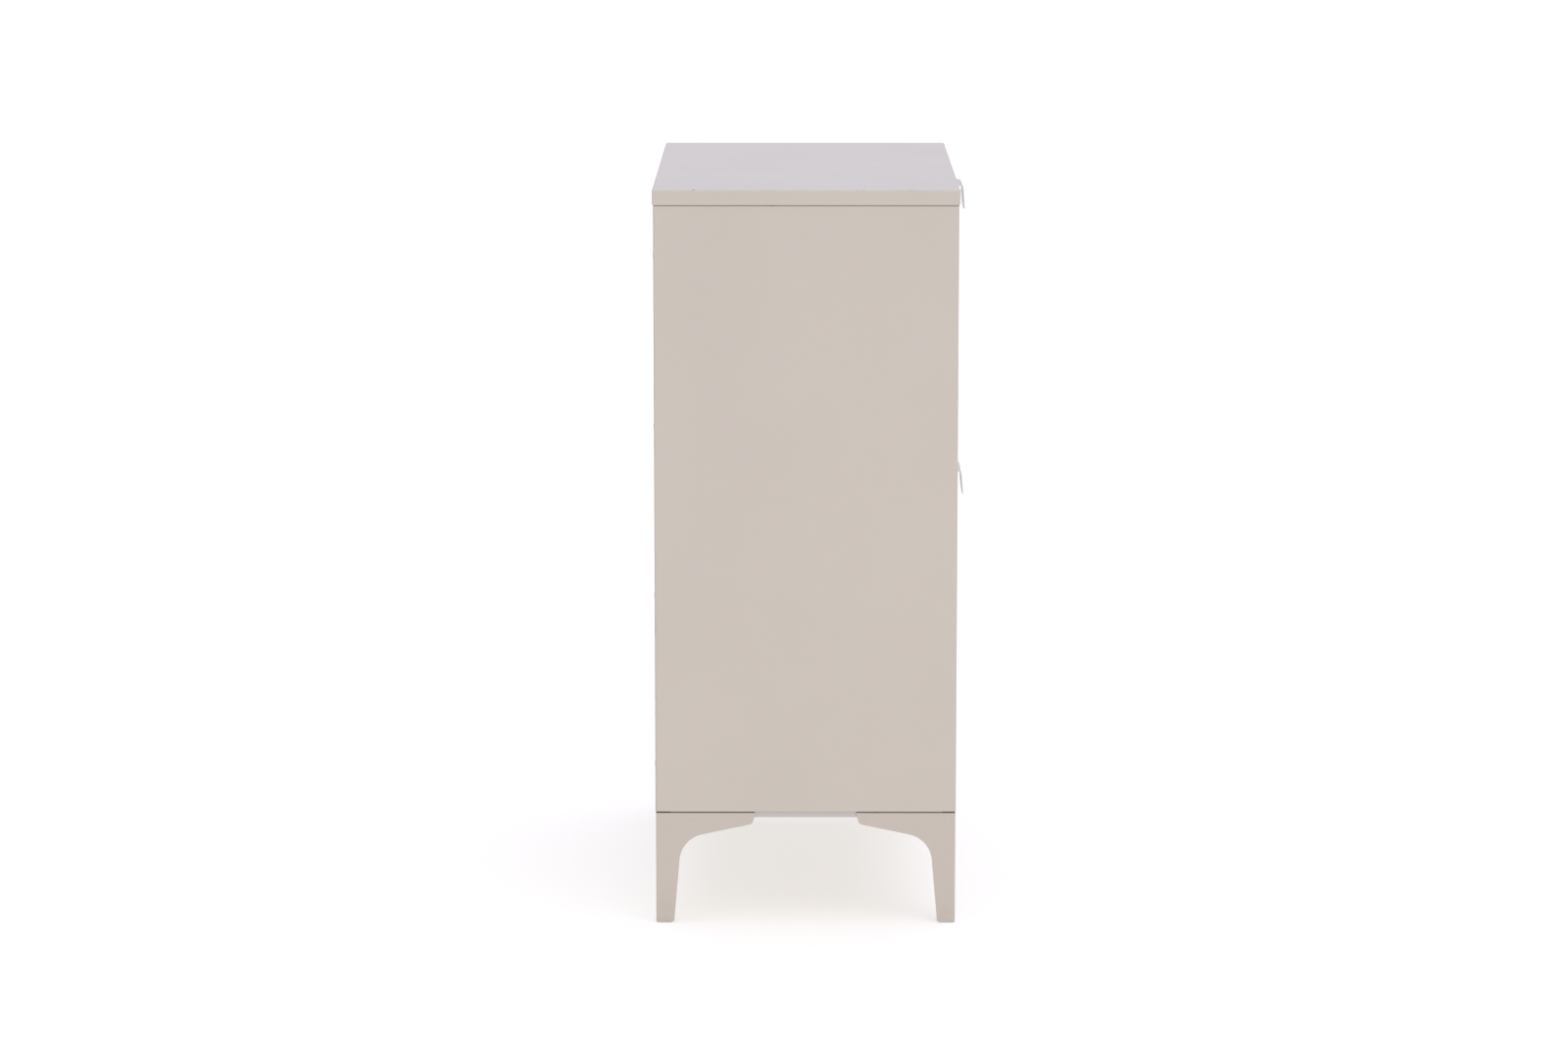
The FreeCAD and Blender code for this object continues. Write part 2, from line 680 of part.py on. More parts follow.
def runner_bracket(drawer, name, way):
    """A hat section that carries a runner. Its lips are welded to the side panel's skin."""
    made = body(f"runner_bracket_{drawer}_{name}")
    mid = runner_level(drawer)
    deep = "stile - gauge"
    half = [
        (f"-1*({deep}) + gauge", "bracket_half + bracket_lip"),
        (f"-1*({deep})", "bracket_half + bracket_lip"),
        (f"-1*({deep})", "bracket_half - gauge"),
        ("-1*gauge", "bracket_half - gauge"),
    ]
    outside = [
        ("0", "bracket_half"),
        (f"-1*({deep}) + gauge", "bracket_half"),
    ]
    inner = [(a, f"{mid} + ({b})") for a, b in half]
    inner += [(a, f"{mid} - ({b})") for a, b in reversed(half)]
    outer = [(a, f"{mid} - ({b})") for a, b in reversed(outside)]
    outer += [(a, f"{mid} + ({b})") for a, b in outside]
    corners = [(inward(way, a), z) for a, z in inner + outer]
    start = "front + post_lip + fit"
    run = f"back - 2*gauge - bend - screw_end - ({start})"
    extrude(made, outline(made, "XZ", corners, start), run, backwards=True)
    wall = (inward(way, "0"), inward(way, "-1*gauge"))
    for y in RIVETS:
        rod(made, "x", (y, mid), wall, "screw_radius + hole_play", cut=True)


def member(label, way, mid, corners, holes=None):
    """A runner member: a section in (depth from the bracket, height above the middle), drawn out."""
    made = body(label)
    full = corners + [(a, f"-1*({b})") for a, b in reversed(corners)]
    section = [(inward(way, a), f"{mid} + ({b})") for a, b in full]
    extrude(made, outline(made, "XZ", section, "slide_start"), "runner_length", backwards=True)
    if holes:
        for y in RIVETS:
            span = [inward(way, depth) for depth in holes]
            rod(made, "x", (y, mid), span, "screw_radius + hole_play", cut=True)
    return made


def runner(drawer, name, way):
    """Fixed, middle and inner members of one full-extension ball runner."""
    mid = runner_level(drawer)
    member(
        f"runner_outer_{drawer}_{name}",
        way,
        mid,
        [
            ("0", "runner_half"),
            ("runner_flange", "runner_half"),
            ("runner_flange", "outer_race - race_lip"),
            ("runner_flange - runner_gauge/2", "outer_race - race_lip"),
            ("runner_flange - runner_gauge/2", "outer_race"),
            ("runner_gauge", "outer_race"),
        ],
        ("0", "runner_gauge"),
    )
    member(
        f"runner_middle_{drawer}_{name}",
        way,
        mid,
        [
            ("middle_in", "middle_half"),
            ("runner_flange", "middle_half"),
            ("runner_flange", "middle_race"),
            ("middle_in + runner_gauge", "middle_race"),
        ],
    )
    member(
        f"runner_inner_{drawer}_{name}",
        way,
        mid,
        [
            ("runner_thick", "inner_half"),
            ("inner_in", "inner_half"),
            ("inner_in", "inner_half - runner_gauge"),
            ("runner_thick - runner_gauge", "inner_half - runner_gauge"),
        ],
        ("runner_thick - runner_gauge", "runner_thick"),
    )


def cage(drawer, stage, level, ball_in, web_in, blade_end):
    """The ball cages of one drawer, left and right: a thin web and two blades with ball holes."""
    made = body(f"ball_cage_{stage}_{drawer}")
    mid = runner_level(drawer)
    start = "slide_mid - cage_length/2"
    for _, way in SIDES:
        half = [
            (web_in, f"{level} + cage_blade/2"),
            (blade_end, f"{level} + cage_blade/2"),
            (blade_end, f"{level} - cage_blade/2"),
            (f"{web_in} + cage_gauge", f"{level} - cage_blade/2"),
        ]
        full = half + [(a, f"-1*({b})") for a, b in reversed(half)]
        section = [(inward(way, a), f"{mid} + ({b})") for a, b in full]
        extrude(made, outline(made, "XZ", section, start), "cage_length", backwards=True)
        for step in BALL_STEPS:
            y = f"slide_mid + ball_pitch*{step}"
            for up in (-1, 1):
                span = (f"{mid} + {up}*({level} - cage_blade)", f"{mid} + {up}*({level} + cage_blade)")
                rod(made, "z", (inward(way, ball_in), y), span, "ball_radius + ball_play", cut=True)


def balls(drawer, stage, level, ball_in):
    """The steel balls of one drawer's cages, left and right, top and bottom."""
    mid = runner_level(drawer)
    made = []
    for _, way in SIDES:
        for up in (-1, 1):
            for step in BALL_STEPS:
                ball = doc.addObject("Part::Sphere", "Ball")
                bind(
                    ball,
                    Radius="ball_radius",
                    Placement__Base__x=inward(way, ball_in),
                    Placement__Base__y=f"slide_mid + ball_pitch*{step}",
                    Placement__Base__z=f"{mid} + {up}*{level}",
                )
                made.append(ball)
    group = doc.addObject("Part::Compound", "Balls")
    group.Label = f"balls_{stage}_{drawer}"
    group.Links = made
    nodes.append(group)


def runner_rivets():
    """Rivets between the fixed members and their brackets, flush inside the runner."""
    made = body("runner_rivets")
    for drawer in DRAWERS:
        mid = runner_level(drawer)
        for _, way in SIDES:
            for y in RIVETS:
                tail = "-1*(gauge + screw_head_high)"
                rod(made, "x", (y, mid), (inward(way, "runner_gauge"), inward(way, tail)), "screw_radius")
                rod(made, "x", (y, mid), (inward(way, "-1*gauge"), inward(way, tail)), "screw_head")


# ---------------------------------------------------------------- drawers


def drawer_front(drawer):
    """The outer pan of a drawer front, with its returns turned in behind."""
    made = body(f"drawer_front_{drawer}")
    top = f"{drawer}_top"
    low = f"({top} - front_height)"
    rear = "front_inner - gauge"
    plate(made, ("-1*front_half", "front_half"), ("front", rear), (low, top))
    face = edge_on(y="front")
    upright = edge_on(x=["-1*front_half", "front_half"], z=[low, top])
    fold(made, "bend", lambda edge: face(edge) or upright(edge))
    inner = "front_half - gauge"
    plate(
        made,
        (f"-1*({inner})", inner),
        ("front + gauge", f"{rear} - gauge"),
        (f"{low} + gauge", f"{top} - gauge"),
        cut=True,
    )
    mouth = "front_half - front_return"
    plate(
        made,
        (f"-1*({mouth})", mouth),
        (f"{rear} - gauge", rear),
        (f"{low} + front_return", f"{top} - front_return"),
        cut=True,
    )
    for spot in pull_screws(drawer):
        rod(made, "y", spot, (f"{rear} - gauge", rear), "screw_radius + hole_play", cut=True)


def front_liner(drawer):
    """The sheet that closes a drawer front from behind and carries the tray and the pull."""
    made = body(f"front_liner_{drawer}")
    top = f"{drawer}_top"
    low = f"({top} - front_height)"
    reach = "front_half - gauge"
    plate(
        made,
        (f"-1*({reach})", reach),
        ("front_inner - gauge", "front_inner"),
        (f"{low} + gauge", f"{top} - gauge"),
    )
    for spot in tray_screws(drawer) + pull_screws(drawer):
        rod(made, "y", spot, ("front_inner - gauge", "front_inner"), "screw_radius + hole_play", cut=True)


def tray_screws(drawer):
    """(x, z) of the screws between a tray's front flanges and its front."""
    levels = spread(tray_low(drawer), "tray_height", "tray_screw_margin", 3)
    return [(f"{way}*(tray_half - (front_flange + gauge)/2)", z) for _, way in SIDES for z in levels]


def pull_screws(drawer):
    """(x, z) of the screws that hold a pull's tab."""
    return [(f"{way}*pull_screw_spacing/2", f"{drawer}_top - pull_tab/2 - gauge") for _, way in SIDES]


def tray_floor(drawer):
    """The tray's bottom, folded up at the back and the front."""
    made = body(f"tray_floor_{drawer}")
    low = tray_low(drawer)
    reach = "tray_half - gauge"
    plate(made, (f"-1*({reach})", reach), ("front_inner", "tray_end - gauge"), (low, f"{low} + gauge"))
    inside = "tray_half - gauge - front_flange - fit"
    plate(
        made,
        (f"-1*({inside})", inside),
        ("front_inner", "front_inner + gauge"),
        (low, f"{low} + front_flange"),
    )


def tray_side(drawer, name, way):
    """A tray side with a top flange, and a front flange that is screwed to the drawer front."""
    made = body(f"tray_side_{drawer}_{name}")
    low = tray_low(drawer)
    high = f"({low} + tray_height)"
    skin = (f"{way}*tray_half", f"{way}*(tray_half - gauge)")
    plate(made, skin, ("front_inner", "tray_end"), (low, high))
    fold(made, "tray_bend", edge_on(x=f"{way}*tray_half", z=high))
    brim = (f"{way}*(tray_half - gauge)", f"{way}*(tray_half - tray_flange)")
    plate(made, brim, ("front_inner", "tray_end - gauge"), (f"{high} - gauge", high))
    ahead = (f"{way}*(tray_half - gauge)", f"{way}*(tray_half - front_flange)")
    plate(made, ahead, ("front_inner", "front_inner + gauge"), (f"{low} + gauge", high))
    for x, z in tray_screws(drawer):
        if (value(x) > 0) == (way > 0):
            span = ("front_inner", "front_inner + gauge")
            rod(made, "y", (x, z), span, "screw_radius + hole_play", cut=True)
    for y in RIVETS:
        rod(made, "x", (y, runner_level(drawer)), skin, "screw_radius + hole_play", cut=True)


def tray_back(drawer):
    """The tray's back with its top flange turned in."""
    made = body(f"tray_back_{drawer}")
    low = tray_low(drawer)
    high = f"({low} + tray_height)"
    reach = "tray_half - gauge"
    plate(made, (f"-1*({reach})", reach), ("tray_end - gauge", "tray_end"), (low, high))
    brim = "tray_half - tray_flange - fit"
    plate(
        made,
        (f"-1*({brim})", brim),
        ("tray_end - gauge", "tray_end - tray_flange"),
        (f"{high} - gauge", high),
    )


def file_rails(drawer):
    """Two bars for hanging files, between the tray sides and just under their flanges."""
    made = body(f"file_rails_{drawer}")
    high = f"({tray_low(drawer)} + tray_height - gauge)"
    reach = "tray_half - gauge"
    for centre in ("front_inner + file_rail_in", "tray_end - file_rail_in"):
        plate(
            made,
            (f"-1*({reach})", reach),
            (f"{centre} - file_rail_thick/2", f"{centre} + file_rail_thick/2"),
            (f"{high} - file_rail_height", high),
        )


def pull(drawer):
    """A folded pull: a tab behind the front, a bridge over its top edge and a lip for the fingers."""
    made = body(f"pull_{drawer}")
    top = f"{drawer}_top"
    roof = f"({top} + pull_gauge)"
    foot = f"({roof} - pull_drop)"
    corners = [
        ("front_inner + pull_gauge", f"{top} - pull_tab"),
        ("front_inner + pull_gauge", roof),
        ("front - pull_throat", roof),
        ("front - pull_reach", foot),
        ("front - pull_reach + pull_gauge", foot),
        ("front - pull_throat + pull_gauge", top),
        ("front_inner", top),
        ("front_inner", f"{top} - pull_tab"),
    ]
    half = "pull_length/2"
    extrude(made, outline(made, "YZ", corners, f"-1*{half}"), "pull_length")
    fold(made, "pull_bend", edge_on(y=["front - pull_throat", "front_inner + pull_gauge"], z=roof))
    fold(made, "pull_bend - pull_gauge", edge_on(y="front - pull_throat + pull_gauge", z=top))

    def lip_corner(edge):
        ends = [vertex.Point for vertex in edge.Vertexes]
        short = len(ends) == 2 and near(ends[0].x, ends[1].x)
        return short and all(near(end.z, value(foot)) for end in ends)

    fold(made, "pull_corner", lip_corner)
    for x, z in pull_screws(drawer):
        span = ("front_inner", "front_inner + pull_gauge")
        rod(made, "y", (x, z), span, "screw_radius + hole_play", cut=True)


def drawer_screws(drawer):
    """Screws of the tray and the pull, and the rivets of the inner runner members."""
    made = body(f"drawer_screws_{drawer}")
    tip = "front_inner - gauge - screw_end"
    kinds = (
        (tray_screws(drawer), "gauge", "screw_head_high"),
        (pull_screws(drawer), "pull_gauge", "flat_head_high"),
    )
    for spots, sheet_thick, head_high in kinds:
        seat = f"(front_inner + {sheet_thick})"
        for spot in spots:
            rod(made, "y", spot, (seat, f"{seat} + {head_high}"), "screw_head")
            rod(made, "y", spot, (tip, f"{seat} + shank_in_head"), "screw_radius")
    inner_face = "runner_thick - runner_gauge"
    tail = "runner_thick + gauge"
    spans = (
        (inner_face, f"{inner_face} - screw_head_high", "screw_head"),
        (f"{inner_face} - shank_in_head", tail, "screw_radius"),
        (tail, f"{tail} + screw_head_high", "screw_head"),
    )
    for _, way in SIDES:
        for y in RIVETS:
            for start, end, radius in spans:
                span = (inward(way, start), inward(way, end))
                rod(made, "x", (y, runner_level(drawer)), span, radius)


# ---------------------------------------------------------------- the whole cabinet


def build():
    fill_sheet()
    top_cap()
    cap_channels()
    for name, way in SIDES:
        side_panel(name, way)
    back_panel()
    base_pan()
    front_rail("front_rail_top", "(body_top - gauge - rail_height)", "(body_top - gauge)")
    half = "rail_height/2"
    front_rail("front_rail_middle", f"(middle_rail_mid - {half})", f"(middle_rail_mid + {half})")
    bumpers()
    for spot in LEG_SPOTS:
        leg(*spot)
    foot_pads()
    leg_bolts()
    weld_nuts()
    panel_screws()
    for drawer in DRAWERS:
        for name, way in SIDES:
            runner_bracket(drawer, name, way)
            runner(drawer, name, way)
            tray_side(drawer, name, way)
        stages = (
            ("outer", "runner_gauge", "outer_ball_in + ball_radius"),
            ("inner", "middle_in + runner_gauge", "runner_flange"),
        )
        for stage, web, blade_end in stages:
            level = f"{stage}_balls"
            ball_in = f"{stage}_ball_in"
            cage(drawer, stage, level, ball_in, f"{web} + cage_play", blade_end)
            balls(drawer, stage, level, ball_in)
        drawer_front(drawer)
        front_liner(drawer)
        tray_floor(drawer)
        tray_back(drawer)
        file_rails(drawer)
        pull(drawer)
        drawer_screws(drawer)
    runner_rivets()
    doc.recompute()


def check():
    """Every object is sound and every sub-part is a valid solid or group of solids."""
    for thing in doc.Objects:
        if {"Invalid", "Error"} & set(thing.State):
            raise RuntimeError(f"{thing.Name} ({thing.Label}) is {thing.State}")
    for node in nodes:
        shape = node.Shape
        if shape.isNull() or not shape.isValid() or not shape.Solids:
            raise RuntimeError(f"{node.Label} has no valid solid")


def export():
    os.makedirs("parts", exist_ok=True)
    for node in nodes:
        node.Shape.exportStep(os.path.join("parts", node.Label + ".step"))
        print(f"{node.Label}: {len(node.Shape.Solids)} solids, {node.Shape.Volume:.0f} mm3")


build()
check()
export()
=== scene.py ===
import math

import bmesh
import bpy
from mathutils import Matrix, Vector


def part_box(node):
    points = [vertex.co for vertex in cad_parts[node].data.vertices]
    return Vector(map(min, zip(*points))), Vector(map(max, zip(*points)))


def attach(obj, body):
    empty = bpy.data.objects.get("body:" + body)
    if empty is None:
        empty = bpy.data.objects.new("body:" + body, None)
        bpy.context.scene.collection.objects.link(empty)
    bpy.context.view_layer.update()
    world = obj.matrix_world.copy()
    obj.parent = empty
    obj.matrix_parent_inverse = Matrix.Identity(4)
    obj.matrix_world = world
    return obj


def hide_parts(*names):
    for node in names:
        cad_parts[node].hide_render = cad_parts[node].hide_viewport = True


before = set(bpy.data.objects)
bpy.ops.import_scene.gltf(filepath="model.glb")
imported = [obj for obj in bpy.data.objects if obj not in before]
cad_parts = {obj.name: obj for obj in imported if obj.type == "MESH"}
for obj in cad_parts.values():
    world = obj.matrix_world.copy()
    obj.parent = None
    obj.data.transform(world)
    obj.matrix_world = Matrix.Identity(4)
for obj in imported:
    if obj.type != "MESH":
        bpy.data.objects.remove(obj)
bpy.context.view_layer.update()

# Looks of a two-drawer metal filing cabinet: finishes for the packed sheet metal, and the pulls,
# screws, welds, clips and levers that are too fine for it. Metres, Z up, drawers facing -Y.

bl_info = {
    "name": "Filing Cabinet Finisher",
    "version": (1, 0, 0),
    "blender": (4, 5, 0),
    "location": "View3D > Sidebar > Cabinet",
    "description": "Finishes a two-drawer metal filing cabinet and sets it on a pale studio floor",
    "category": "Object",
}

DRAWERS = ("upper", "lower")
SIDES = (("left", -1), ("right", 1))
CORNERS = ("front_left", "front_right", "back_left", "back_right")
MILLI = 0.001

# Scratches drawn along one axis: few to the metre along it, and many across it.
DRAWN_ALONG_X = (30.0, 2600.0, 2600.0)
DRAWN_ALONG_Y = (2600.0, 30.0, 2600.0)

# Tumbled parts are scratched alike in every direction.
TUMBLED_SCREW, TUMBLED_CAGE, TUMBLED_BALL = ((fineness,) * 3 for fineness in (900.0, 500.0, 300.0))

# The soft suns: name, strength setting, colour, direction that it shines from, softness in degrees.
SUNS = (
    ("key_light", "key", (1.0, 0.92, 0.72), (-1.0, -0.55, 0.9), 50),
    ("top_light", "top", (0.495, 0.556, 1.0), (0.1, -0.15, 1.0), 80),
)


# ---------------------------------------------------------------- settings


class FinishSettings(bpy.types.PropertyGroup):
    """Colours and surface scales of the cabinet's finishes."""

    paint: bpy.props.FloatVectorProperty(
        name="Body paint", description="Powder coat of the body and the drawer fronts",
        subtype="COLOR", size=3, min=0, max=1, default=(0.565, 0.509, 0.450),
    )
    leg_paint: bpy.props.FloatVectorProperty(
        name="Leg paint", description="Powder coat of the legs",
        subtype="COLOR", size=3, min=0, max=1, default=(0.546, 0.484, 0.427),
    )
    primer: bpy.props.FloatVectorProperty(
        name="Primer", description="Thin grey primer of the base pan",
        subtype="COLOR", size=3, min=0, max=1, default=(0.535, 0.495, 0.475),
    )
    inner_paint: bpy.props.FloatVectorProperty(
        name="Inner paint", description="Thin powder coat inside the cabinet and on the trays",
        subtype="COLOR", size=3, min=0, max=1, default=(0.575, 0.525, 0.480),
    )
    satin: bpy.props.FloatVectorProperty(
        name="Pull metal", description="Bare satin metal of the pulls",
        subtype="COLOR", size=3, min=0, max=1, default=(0.70, 0.70, 0.70),
    )
    zinc: bpy.props.FloatVectorProperty(
        name="Zinc", description="Plating of the runners and the screws",
        subtype="COLOR", size=3, min=0, max=1, default=(0.55, 0.575, 0.60),
    )
    grain: bpy.props.FloatProperty(
        name="Paint grain", description="Size of the bumps in the powder coat",
        subtype="DISTANCE", unit="LENGTH", min=0.0002, default=0.0016,
    )
    wear: bpy.props.FloatProperty(
        name="Edge wear", description="How much paint has rubbed off the outer edges",
        subtype="FACTOR", min=0, max=1, default=0.45,
    )
    spray_fade: bpy.props.FloatProperty(
        name="Spray fade", description="Half the height over which the paint thins out on the base pan",
        subtype="DISTANCE", unit="LENGTH", min=0.0001, default=0.0012,
    )
    chip_size: bpy.props.FloatProperty(
        name="Chip", description="Size of the one chip in the edge of the cap",
        subtype="DISTANCE", unit="LENGTH", min=0, default=0.0016,
    )
    rubbed: bpy.props.FloatVectorProperty(
        name="Rubbed edge", description="Dull steel where an edge's paint has rubbed off",
        subtype="COLOR", size=3, min=0, max=1, default=(0.22, 0.20, 0.19),
    )
    chipped: bpy.props.FloatVectorProperty(
        name="Chipped spot", description="Dark steel in the chip",
        subtype="COLOR", size=3, min=0, max=1, default=(0.17, 0.155, 0.145),
    )
    dust: bpy.props.FloatVectorProperty(
        name="Dust", description="Dust and scuffs low on the legs",
        subtype="COLOR", size=3, min=0, max=1, default=(0.36, 0.33, 0.30),
    )
    dust_cover: bpy.props.FloatProperty(
        name="Dust cover", description="How much of the paint the thickest dust hides",
        subtype="FACTOR", min=0, max=1, default=0.35,
    )
    chip_from_back: bpy.props.FloatProperty(
        name="Chip's place", description="Distance of the chip from the back of the cap",
        subtype="DISTANCE", unit="LENGTH", min=0, default=0.054,
    )


class PullSettings(bpy.types.PropertyGroup):
    """Sizes of the folded pulls that their CAD box doesn't give."""

    sheet: bpy.props.FloatProperty(
        name="Sheet", description="Thickness of the folded strip",
        subtype="DISTANCE", unit="LENGTH", default=0.0018,
    )
    lean: bpy.props.FloatProperty(
        name="Lip lean", description="How far the lip's lower edge stands out past its bend",
        subtype="DISTANCE", unit="LENGTH", default=0.0026,
    )
    lip_bend: bpy.props.FloatProperty(
        name="Lip bend", description="Outer radius of the bend above the lip",
        subtype="DISTANCE", unit="LENGTH", default=0.0045,
    )
    tab_bend: bpy.props.FloatProperty(
        name="Tab bend", description="Outer radius of the bend above the tab",
        subtype="DISTANCE", unit="LENGTH", default=0.0024,
    )
    tab_height: bpy.props.FloatProperty(
        name="Tab height", description="Height of the screwed tab behind the drawer front",
        subtype="DISTANCE", unit="LENGTH", default=0.0178,
    )
    corner: bpy.props.FloatProperty(
        name="Lip corner", description="Radius of the lip's lower corners",
        subtype="DISTANCE", unit="LENGTH", default=0.010,
    )
    tab_corner: bpy.props.FloatProperty(
        name="Tab corner", description="Radius of the tab's lower corners",
        subtype="DISTANCE", unit="LENGTH", default=0.004,
    )
    edge: bpy.props.FloatProperty(
        name="Edge break", description="Radius to which the sheet's edges are tumbled",
        subtype="DISTANCE", unit="LENGTH", default=0.00035,
    )


class FittingSettings(bpy.types.PropertyGroup):
    """Sizes of the screws, welds, clips and levers."""

    recess: bpy.props.FloatProperty(
        name="Recess", description="Reach of a driver recess, as a share of the head's radius",
        subtype="FACTOR", min=0.1, max=0.9, default=0.62,
    )
    dome: bpy.props.FloatProperty(
        name="Dome", description="How much of a head's height is its dome",
        subtype="FACTOR", min=0, max=0.9, default=0.5,
    )
    shank: bpy.props.FloatProperty(
        name="Shank", description="Radius of a shank, as a share of its head's radius",
        subtype="FACTOR", min=0.1, max=0.9, default=0.53,
    )
    stop_collar: bpy.props.FloatProperty(
        name="Stop collar", description="Thickness of the wider collar round a rubber stop",
        subtype="DISTANCE", unit="LENGTH", default=0.0009,
    )
    weld_radius: bpy.props.FloatProperty(
        name="Spot weld", description="Radius of a spot weld's mark",
        subtype="DISTANCE", unit="LENGTH", default=0.0027,
    )
    weld_height: bpy.props.FloatProperty(
        name="Spot weld height", description="How far a painted spot weld stands proud",
        subtype="DISTANCE", unit="LENGTH", default=0.0002,
    )
    weld_pitch: bpy.props.FloatProperty(
        name="Spot weld pitch", description="Greatest distance between spot welds in a row",
        subtype="DISTANCE", unit="LENGTH", default=0.055,
    )
    clip_length: bpy.props.FloatProperty(
        name="Rail clip", description="Length of the clips that hold the hanging-file rails",
        subtype="DISTANCE", unit="LENGTH", default=0.011,
    )
    # The dark strips set back by this distance are painted shade in the gap above the legs, not real
    # rubber beads.
    shade_strip_set_back: bpy.props.FloatProperty(
        name="Gap shade strip", description="How far the rubber beads above the legs lie behind the leg's face",
        subtype="DISTANCE", unit="LENGTH", default=0.0007,
    )
    lever_length: bpy.props.FloatProperty(
        name="Release lever", description="Length of the runners' release levers",
        subtype="DISTANCE", unit="LENGTH", default=0.044,
    )


class StageSettings(bpy.types.PropertyGroup):
    """Floor, light and camera."""

    eye_height: bpy.props.FloatProperty(
        name="Eye height", description="Height of the camera above the floor",
        subtype="DISTANCE", unit="LENGTH", default=1.577,
    )
    eye_distance: bpy.props.FloatProperty(
        name="Eye distance", description="Distance of the camera from the left side panel",
        subtype="DISTANCE", unit="LENGTH", default=6.232,
    )
    eye_offset: bpy.props.FloatProperty(
        name="Eye offset", description="How far behind the body's middle the camera stands",
        subtype="DISTANCE", unit="LENGTH", default=0.015,
    )
    pitch: bpy.props.FloatProperty(
        name="Pitch", description="How far down the camera looks",
        subtype="ANGLE", unit="ROTATION", default=math.radians(9.474),
    )
    yaw: bpy.props.FloatProperty(
        name="Yaw", description="How far the camera turns towards the cabinet's back",
        subtype="ANGLE", unit="ROTATION", default=math.radians(0.13),
    )
    lens: bpy.props.FloatProperty(
        name="Lens", description="Focal length in millimetres on a 36 mm wide sensor",
        min=1, default=110.9,
    )
    sky: bpy.props.FloatProperty(
        name="Fill light", description="Strength of the even light from all round",
        min=0, default=0.74,
    )
    key: bpy.props.FloatProperty(
        name="Key light", description="Strength of the soft light from the front left",
        min=0, default=0.45,
    )
    top: bpy.props.FloatProperty(
        name="Top light", description="Strength of the soft light from overhead",
        min=0, default=1.62,
    )
    bounce: bpy.props.FloatProperty(
        name="Floor glow", description="Light that the pale floor gives off by itself",
        min=0, default=0.51,
    )


# ---------------------------------------------------------------- node helpers


def add(tree, kind, inputs=None, **settings):
    """A node with its properties set, and its inputs linked to sockets or given values."""
    made = tree.nodes.new(kind)
    for name, setting in settings.items():
        setattr(made, name, setting)
    for name, given in (inputs or {}).items():
        if isinstance(given, bpy.types.NodeSocket):
            tree.links.new(given, made.inputs[name])
        else:
            made.inputs[name].default_value = given
    return made


def calc(tree, operation, a, b=0.0, clamp=False):
    """The result of one sum on two numbers or sockets."""
    made = tree.nodes.new("ShaderNodeMath")
    made.operation = operation
    made.use_clamp = clamp
    for socket, given in zip(made.inputs, (a, b)):
        if isinstance(given, bpy.types.NodeSocket):
            tree.links.new(given, socket)
        else:
            socket.default_value = given
    return made.outputs[0]


def vector_calc(tree, operation, a, b):
    made = tree.nodes.new("ShaderNodeVectorMath")
    made.operation = operation
    for socket, given in zip(made.inputs, (a, b)):
        if isinstance(given, bpy.types.NodeSocket):
            tree.links.new(given, socket)
        else:
            socket.default_value = given
    return made.outputs[0]


def remap(tree, given, low, high, to_low=0.0, to_high=1.0):
    """The given value stretched from one range to another, and held inside it."""
    inputs = {"Value": given, "From Min": low, "From Max": high, "To Min": to_low, "To Max": to_high}
    return add(tree, "ShaderNodeMapRange", inputs).outputs["Result"]


def spread(tree, given, to_low, to_high):
    """The middle values of a noise, where most of them lie, stretched to a range."""
    return remap(tree, given, 0.3, 0.7, to_low, to_high)


def mix_colours(tree, factor, a, b):
    made = tree.nodes.new("ShaderNodeMix")
    made.data_type = "RGBA"
    wanted = {"Factor_Float": factor, "A_Color": a, "B_Color": b}
    for socket in made.inputs:
        if socket.identifier in wanted:
            given = wanted[socket.identifier]
            if isinstance(given, bpy.types.NodeSocket):
                tree.links.new(given, socket)
            else:
                socket.default_value = given
    return next(s for s in made.outputs if s.identifier == "Result_Color")


def noise(tree, place, scale, detail=2.0, roughness=0.5):
    inputs = {"Vector": place, "Scale": scale, "Detail": detail, "Roughness": roughness}
    return add(tree, "ShaderNodeTexNoise", inputs).outputs["Fac"]


def opaque(colour):
    return (*colour, 1.0)


def group_tree(name, kind, inputs, outputs):
    """An empty node group with its sockets, and its two ends."""
    tree = bpy.data.node_groups.new(name, kind)
    for label, socket, default in inputs:
        made = tree.interface.new_socket(label, in_out="INPUT", socket_type=socket)
        if default is not None:
            made.default_value = default
    for label, socket in outputs:
        tree.interface.new_socket(label, in_out="OUTPUT", socket_type=socket)
    return tree, tree.nodes.new("NodeGroupInput").outputs, tree.nodes.new("NodeGroupOutput")


# ---------------------------------------------------------------- shared surface effects


